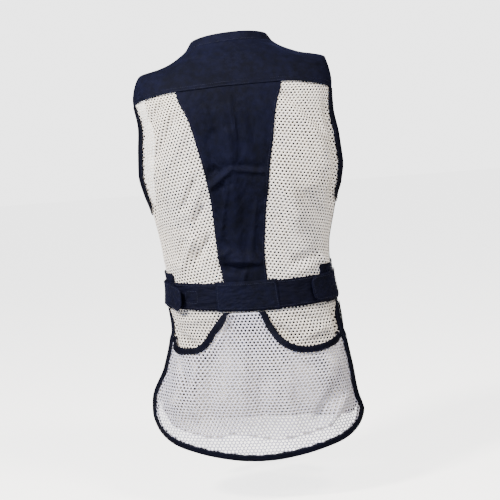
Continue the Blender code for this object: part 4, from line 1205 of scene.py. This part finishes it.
webbing = twill_material("navy webbing", (0.0004, 0.0005, 0.0020), (0.0010, 0.0012, 0.0052), 0.02,
                         rib=0.00035)
belt_turns = np.linspace(-BELT_REACH, BELT_REACH, 161)
belt_lattice = band(belt_turns, -BELT_HIGH / 2, BELT_HIGH / 2, 13)
belt_cloth = cloth("belt_webbing", ("belt",), belt_lattice, belt_low(belt_lattice[0]),
                   belt_low(belt_lattice[0]) + BELT_WALL, webbing, waves=0.15)
BOX = {"turns": (32.0, 43.5), "rises": (-12.0, 10.0)}
belt_lines = [on_belt(belt_turns, rise) for rise in (-BELT_SEAM, BELT_SEAM)]
for turn in BOX["turns"]:
    belt_lines.append(on_belt(turn, np.linspace(*BOX["rises"], 20)))
for rise in BOX["rises"]:
    belt_lines.append(on_belt(np.linspace(*BOX["turns"], 20), rise))
stitching("belt_stitches", belt_lines)

LOOP_HALF, LOOP_HIGH, LOOP_WALL, LOOP_REST, LOOP_SEAM = 54.0, 53.0, 1.4, 0.5, 21.5
loop_reach = float(turn_at(LOOP_HALF, belt_middle(0.0)))
loop_turns = np.linspace(-loop_reach, loop_reach, 45)
loop_rows = ([0, 0.015, 0.035, 0.06], np.linspace(0.1, 0.9, 17), [0.94, 0.965, 0.985, 1.0])
loop_share = np.concatenate(loop_rows)[:, None]
loop_levels = belt_middle(loop_turns) - LOOP_HIGH / 2 + loop_share * LOOP_HIGH
loop_lift = ease(loop_share / 0.05) * ease((1 - loop_share) / 0.05)
loop_low = TWILL_HIGH + LOOP_REST + loop_lift * (BELT_REST + BELT_WALL) * np.ones_like(loop_levels)
loop_lattice = (np.ones_like(loop_share) * loop_turns[None, :], loop_levels)
loop_cloth = cloth("belt_loop_twill", ("belt_loop",), loop_lattice, loop_low, loop_low + LOOP_WALL,
                   navy_twill, waves=0.15)
over = TWILL_HIGH + LOOP_REST + BELT_REST + BELT_WALL + LOOP_WALL + THREAD_REST
inner_turns = loop_turns[1:-1]
loop_lines = [(inner_turns, belt_middle(inner_turns) + rise, over) for rise in (-LOOP_SEAM, LOOP_SEAM)]
LOOP_END = {"inset": 1.0, "rises": (-21, 21)}
for turn in (-loop_reach + LOOP_END["inset"], loop_reach - LOOP_END["inset"]):
    loop_lines.append((turn, belt_middle(turn) + np.linspace(*LOOP_END["rises"], 20), over))
stitching("belt_loop_stitches", loop_lines)

# Side anchors and adjuster tabs. A doubled piece of twill at each side carries the belt, and a tab with a
# round end comes from the front over the belt; the left one stands off it, the right one lies down.
ANCHOR = {"from_turn": 58.0, "to_turn": 100.0, "top": 40.0, "bottom": -26.0, "wall": 1.6, "rest": 1.1}
TAB = {"tip": 44.0, "root": 98.0, "height": 44.0, "wall": 1.8, "rest": 0.8, "round": 7.0}
TAB_STEP = {"from": 77.0, "length": 8.0}
TAB_LIFT = {"left": 7.0, "right": 0.8, "length": 22.0}
TAB_DROP = {"left": 7.0, "right": 0.0, "length": 26.0}
anchor_low = TWILL_HIGH + ANCHOR["rest"]
tab_root = anchor_low + ANCHOR["wall"] + 0.8
tab_over = TWILL_HIGH + OVER_ANCHOR + BELT_WALL + TAB["rest"]
tip_columns = [0, 0.002, 0.006, 0.012, 0.02, 0.032, 0.048, 0.068, 0.092, 0.12, 0.15]
tab_columns = np.concatenate([tip_columns, np.linspace(0.18, 1, 60)])
tab_turns = TAB["tip"] + (TAB["root"] - TAB["tip"]) * tab_columns
away = np.clip((tab_turns - TAB["tip"]) / TAB["round"], 0, 1)
round_end = 0.35 + 0.65 * np.sqrt(1 - (1 - away) ** 2)
tab_share = np.linspace(-1, 1, 17)[:, None]
tab_level = belt_middle(tab_turns) + 1 + tab_share * TAB["height"] / 2 * round_end
tab_turn = np.ones_like(tab_share) * tab_turns[None, :]
anchor_turns = np.linspace(ANCHOR["from_turn"], ANCHOR["to_turn"], 40)
for label, side in SIDES:
    anchor = band(anchor_turns, ANCHOR["bottom"], ANCHOR["top"], 17)
    anchor = anchor if side > 0 else mirrored(anchor)
    piece = cloth("side_anchor_twill_" + label, ("side_anchor_" + label,), anchor, anchor_low,
                  anchor_low + ANCHOR["wall"], navy_twill, waves=0.12)
    low = tab_root + (tab_over - tab_root) * (1 - ease((tab_turn - TAB_STEP["from"]) / TAB_STEP["length"]))
    low = low + TAB_LIFT[label] * (1 - ease((tab_turn - TAB["tip"]) / TAB_LIFT["length"])) ** 2
    hung = tab_level - TAB_DROP[label] * (1 - ease((tab_turn - TAB["tip"]) / TAB_DROP["length"]))
    lattice = (tab_turn, hung) if side > 0 else mirrored((tab_turn, hung))
    heights = low if side > 0 else low[:, ::-1]
    piece = cloth("side_tab_twill_" + label, ("side_tab_" + label,), lattice, heights, heights + TAB["wall"],
                  navy_twill, waves=0.12)
    lines = []
    for row in (1, 15):
        lines.append((side * tab_turns[4:], hung[row, 4:], low[row, 4:] + TAB["wall"] + THREAD_REST))
    lines.append((side * tab_turns[5], hung[2:15, 5], low[2:15, 5] + TAB["wall"] + THREAD_REST))
    stitching("side_tab_stitches_" + label, lines)

# Zip. A dark woven tape behind the fronts, moulded teeth between them from the hem to the neck, and a slider
# with a bridge that carries the hinged pull tab. It is closed, as the filled-out vest shows.
ZIP_TAPE = {"reach": 14.0, "inner": -2.0, "outer": -0.8, "start": -670.0}
ZIP_TOP = 10.0
zip_weave, zip_tree, zip_shader = surface(
    "zip tape weave", (0.0030, 0.0034, 0.0070), (0.0050, 0.0055, 0.0110), 0.7)
weave_in(zip_tree, zip_shader, 0.00016, 0.3)
zip_levels = np.linspace(ZIP_TAPE["start"], ZIP_TOP, 190)
zip_angle = turn_at(ZIP_TAPE["reach"], zip_levels)[:, None]
zip_turn = 180 - zip_angle + 2 * zip_angle * np.linspace(0, 1, 9)[None, :]
zip_cloth = cloth("zip_tape_weave", ("zip_tape",), (zip_turn, zip_levels[:, None] * np.ones((1, 9))),
                  ZIP_TAPE["inner"], ZIP_TAPE["outer"], zip_weave)

CHAIN = {"start": -683.0, "out": 0.9, "pitch": 1.5, "tooth": 1.25, "half": 0.75, "samples": 900}
zip_plastic = surface("moulded teeth", (0.0040, 0.0045, 0.0075), (0.0065, 0.0070, 0.0110), 0.38, fine=400.0,
                      gloss=0.4)[0]
TOOTH = ((-1.0, 0.75), (-0.2, 1.0), (0.45, 0.7), (0.75, 0.95), (1.0, 0.6))
fine_levels = np.linspace(CHAIN["start"], ZIP_TOP, CHAIN["samples"])
centre_line = place(180.0, fine_levels, CHAIN["out"])
centre_out = outward(180.0, fine_levels)
walk = walked(centre_line)
tooth_points, tooth_faces = [], []
for number, spot in enumerate(np.arange(1.0, walk[-1] - 1.0, CHAIN["pitch"])):
    hand = 1 if number % 2 else -1
    base = along_path(spot, walk, centre_line)
    ahead = along_path(spot + 0.5, walk, centre_line) - base
    along = ahead / np.linalg.norm(ahead)
    out = along_path(spot, walk, centre_out)
    across = np.cross(along, out) * hand
    first = len(tooth_points)
    for place_share, size in TOOTH:
        centre = base + across * (place_share * 2.0 - 0.6)
        for a, b in ((-1, -1), (1, -1), (1, 0.6), (0.6, 1), (-0.6, 1), (-1, 0.6)):
            tall = out * b * CHAIN["tooth"] * (0.8 + 0.2 * size)
            tooth_points.append(centre + along * a * CHAIN["half"] * size + tall)
    for k in range(len(TOOTH) - 1):
        for i in range(6):
            a, b = first + 6 * k + i, first + 6 * k + (i + 1) % 6
            tooth_faces.append((a, b, b + 6, a + 6))
    tooth_faces.append(tuple(first + i for i in range(5, -1, -1)))
    tooth_faces.append(tuple(first + 6 * (len(TOOTH) - 1) + i for i in range(6)))
teeth = build("zip_teeth", np.array(tooth_points), tooth_faces, zip_plastic, ("zip_chain",),
              smooth=False)
face_out(teeth)

metal = surface("dark nickel", (0.32, 0.31, 0.30), (0.24, 0.235, 0.23), 0.32, metallic=1.0, fine=300.0)[0]
for node, rides in (("zip_slider", "vest"), ("zip_pull", "pull")):
    copy = bpy.data.objects.new(node + "_metal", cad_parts[node].data.copy())
    bpy.context.scene.collection.objects.link(copy)
    copy.data.materials.clear()
    copy.data.materials.append(metal)
    soft = copy.modifiers.new("round edges", "BEVEL")
    soft.width, soft.segments, soft.limit_method = 0.00025, 2, "ANGLE"
    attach(copy, rides)
    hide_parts(node)

# Studio. A plain pale floor well below the hem, soft boxes behind the vest with a weak one in front, and
# the photograph's camera.
floor_mesh = bpy.data.meshes.new("studio_floor")
FLOOR_REACH, FLOOR_LEVEL = 30.0, -0.80
floor_signs = ((-1, -1), (1, -1), (1, 1), (-1, 1))
floor_corners = [(x * FLOOR_REACH, y * FLOOR_REACH, FLOOR_LEVEL) for x, y in floor_signs]
floor_mesh.from_pydata(floor_corners, [], [(0, 1, 2, 3)])
floor = bpy.data.objects.new("studio_floor", floor_mesh)
bpy.context.scene.collection.objects.link(floor)
pale = bpy.data.materials.new("pale floor")
pale.use_nodes = True
floor_shader = pale.node_tree.nodes["Principled BSDF"]
floor_shader.inputs["Base Color"].default_value = (0.45, 0.45, 0.45, 1)
floor_shader.inputs["Roughness"].default_value = 0.9
floor_shader.inputs["Specular IOR Level"].default_value = 0.0
floor_shader.inputs["Emission Color"].default_value = (1, 1, 1, 1)
floor_mesh.materials.append(pale)

world = bpy.data.worlds.new("studio")
bpy.context.scene.world = world
world.use_nodes = True
sky = world.node_tree.nodes["Background"]
sky.inputs["Color"].default_value = (1, 1, 1, 1)


def white_when_seen(tree, target, lit, seen):
    """Give a socket one value for the light it sheds and another where the camera sees it."""
    path = node_at(tree, "ShaderNodeLightPath")
    value = node_at(tree, "ShaderNodeMapRange", ((path.outputs["Is Camera Ray"], "Value"),))
    value.inputs["To Min"].default_value, value.inputs["To Max"].default_value = lit, seen
    tree.links.new(value.outputs["Result"], target)


WORLD_LIGHT, FLOOR_LIGHT = (0.16, 3.4), (0.0, 3.1)
white_when_seen(world.node_tree, sky.inputs["Strength"], *WORLD_LIGHT)
white_when_seen(pale.node_tree, floor_shader.inputs["Emission Strength"], *FLOOR_LIGHT)


def area_light(name, spot, aim, size, power, tint, spread=180):
    """Add one soft box that looks at a point, with the angle of its beam in degrees."""
    light = bpy.data.lights.new(name, "AREA")
    light.shape = "SQUARE"
    light.size, light.energy, light.color, light.spread = size, power, tint, math.radians(spread)
    item = bpy.data.objects.new(name, light)
    item.location = spot
    item.rotation_euler = (Vector(aim) - Vector(spot)).to_track_quat("-Z", "Y").to_euler()
    bpy.context.scene.collection.objects.link(item)


area_light("key", (1.7, 1.8, 1.7), (0, 0, -0.35), 0.5, 430, (1.0, 0.94, 0.85))
area_light("low fill", (1.0, 2.3, -0.6), (0, 0, -0.5), 1.2, 40, (0.50, 0.64, 1.0))
area_light("right fill", (-1.5, 1.5, 1.9), (0, 0, -0.3), 0.6, 190, (1.0, 0.90, 0.76))
area_light("front fill", (-0.5, -2.4, -0.25), (0, 0, -0.2), 0.9, 9, (1.0, 0.97, 0.92), 40)

VIEW = {"turn": 175.0, "rise": 4.0, "roll": -4.5, "away": 2.25, "lens": 88.0, "sensor": 36.0}
TARGET = Vector((-0.005, 0.0, -0.352))
turn, rise = math.radians(VIEW["turn"]), math.radians(VIEW["rise"])
back = Vector((-math.sin(turn) * math.cos(rise), -math.cos(turn) * math.cos(rise), math.sin(rise)))
lens = bpy.data.cameras.new("camera")
lens.lens, lens.sensor_width = VIEW["lens"], VIEW["sensor"]
camera = bpy.data.objects.new("camera", lens)
camera.location = TARGET + back * VIEW["away"]
camera.rotation_mode = "QUATERNION"
roll = Quaternion((0, 0, 1), math.radians(VIEW["roll"]))
camera.rotation_quaternion = (-back).to_track_quat("-Z", "Y") @ roll
bpy.context.scene.collection.objects.link(camera)
bpy.context.scene.camera = camera
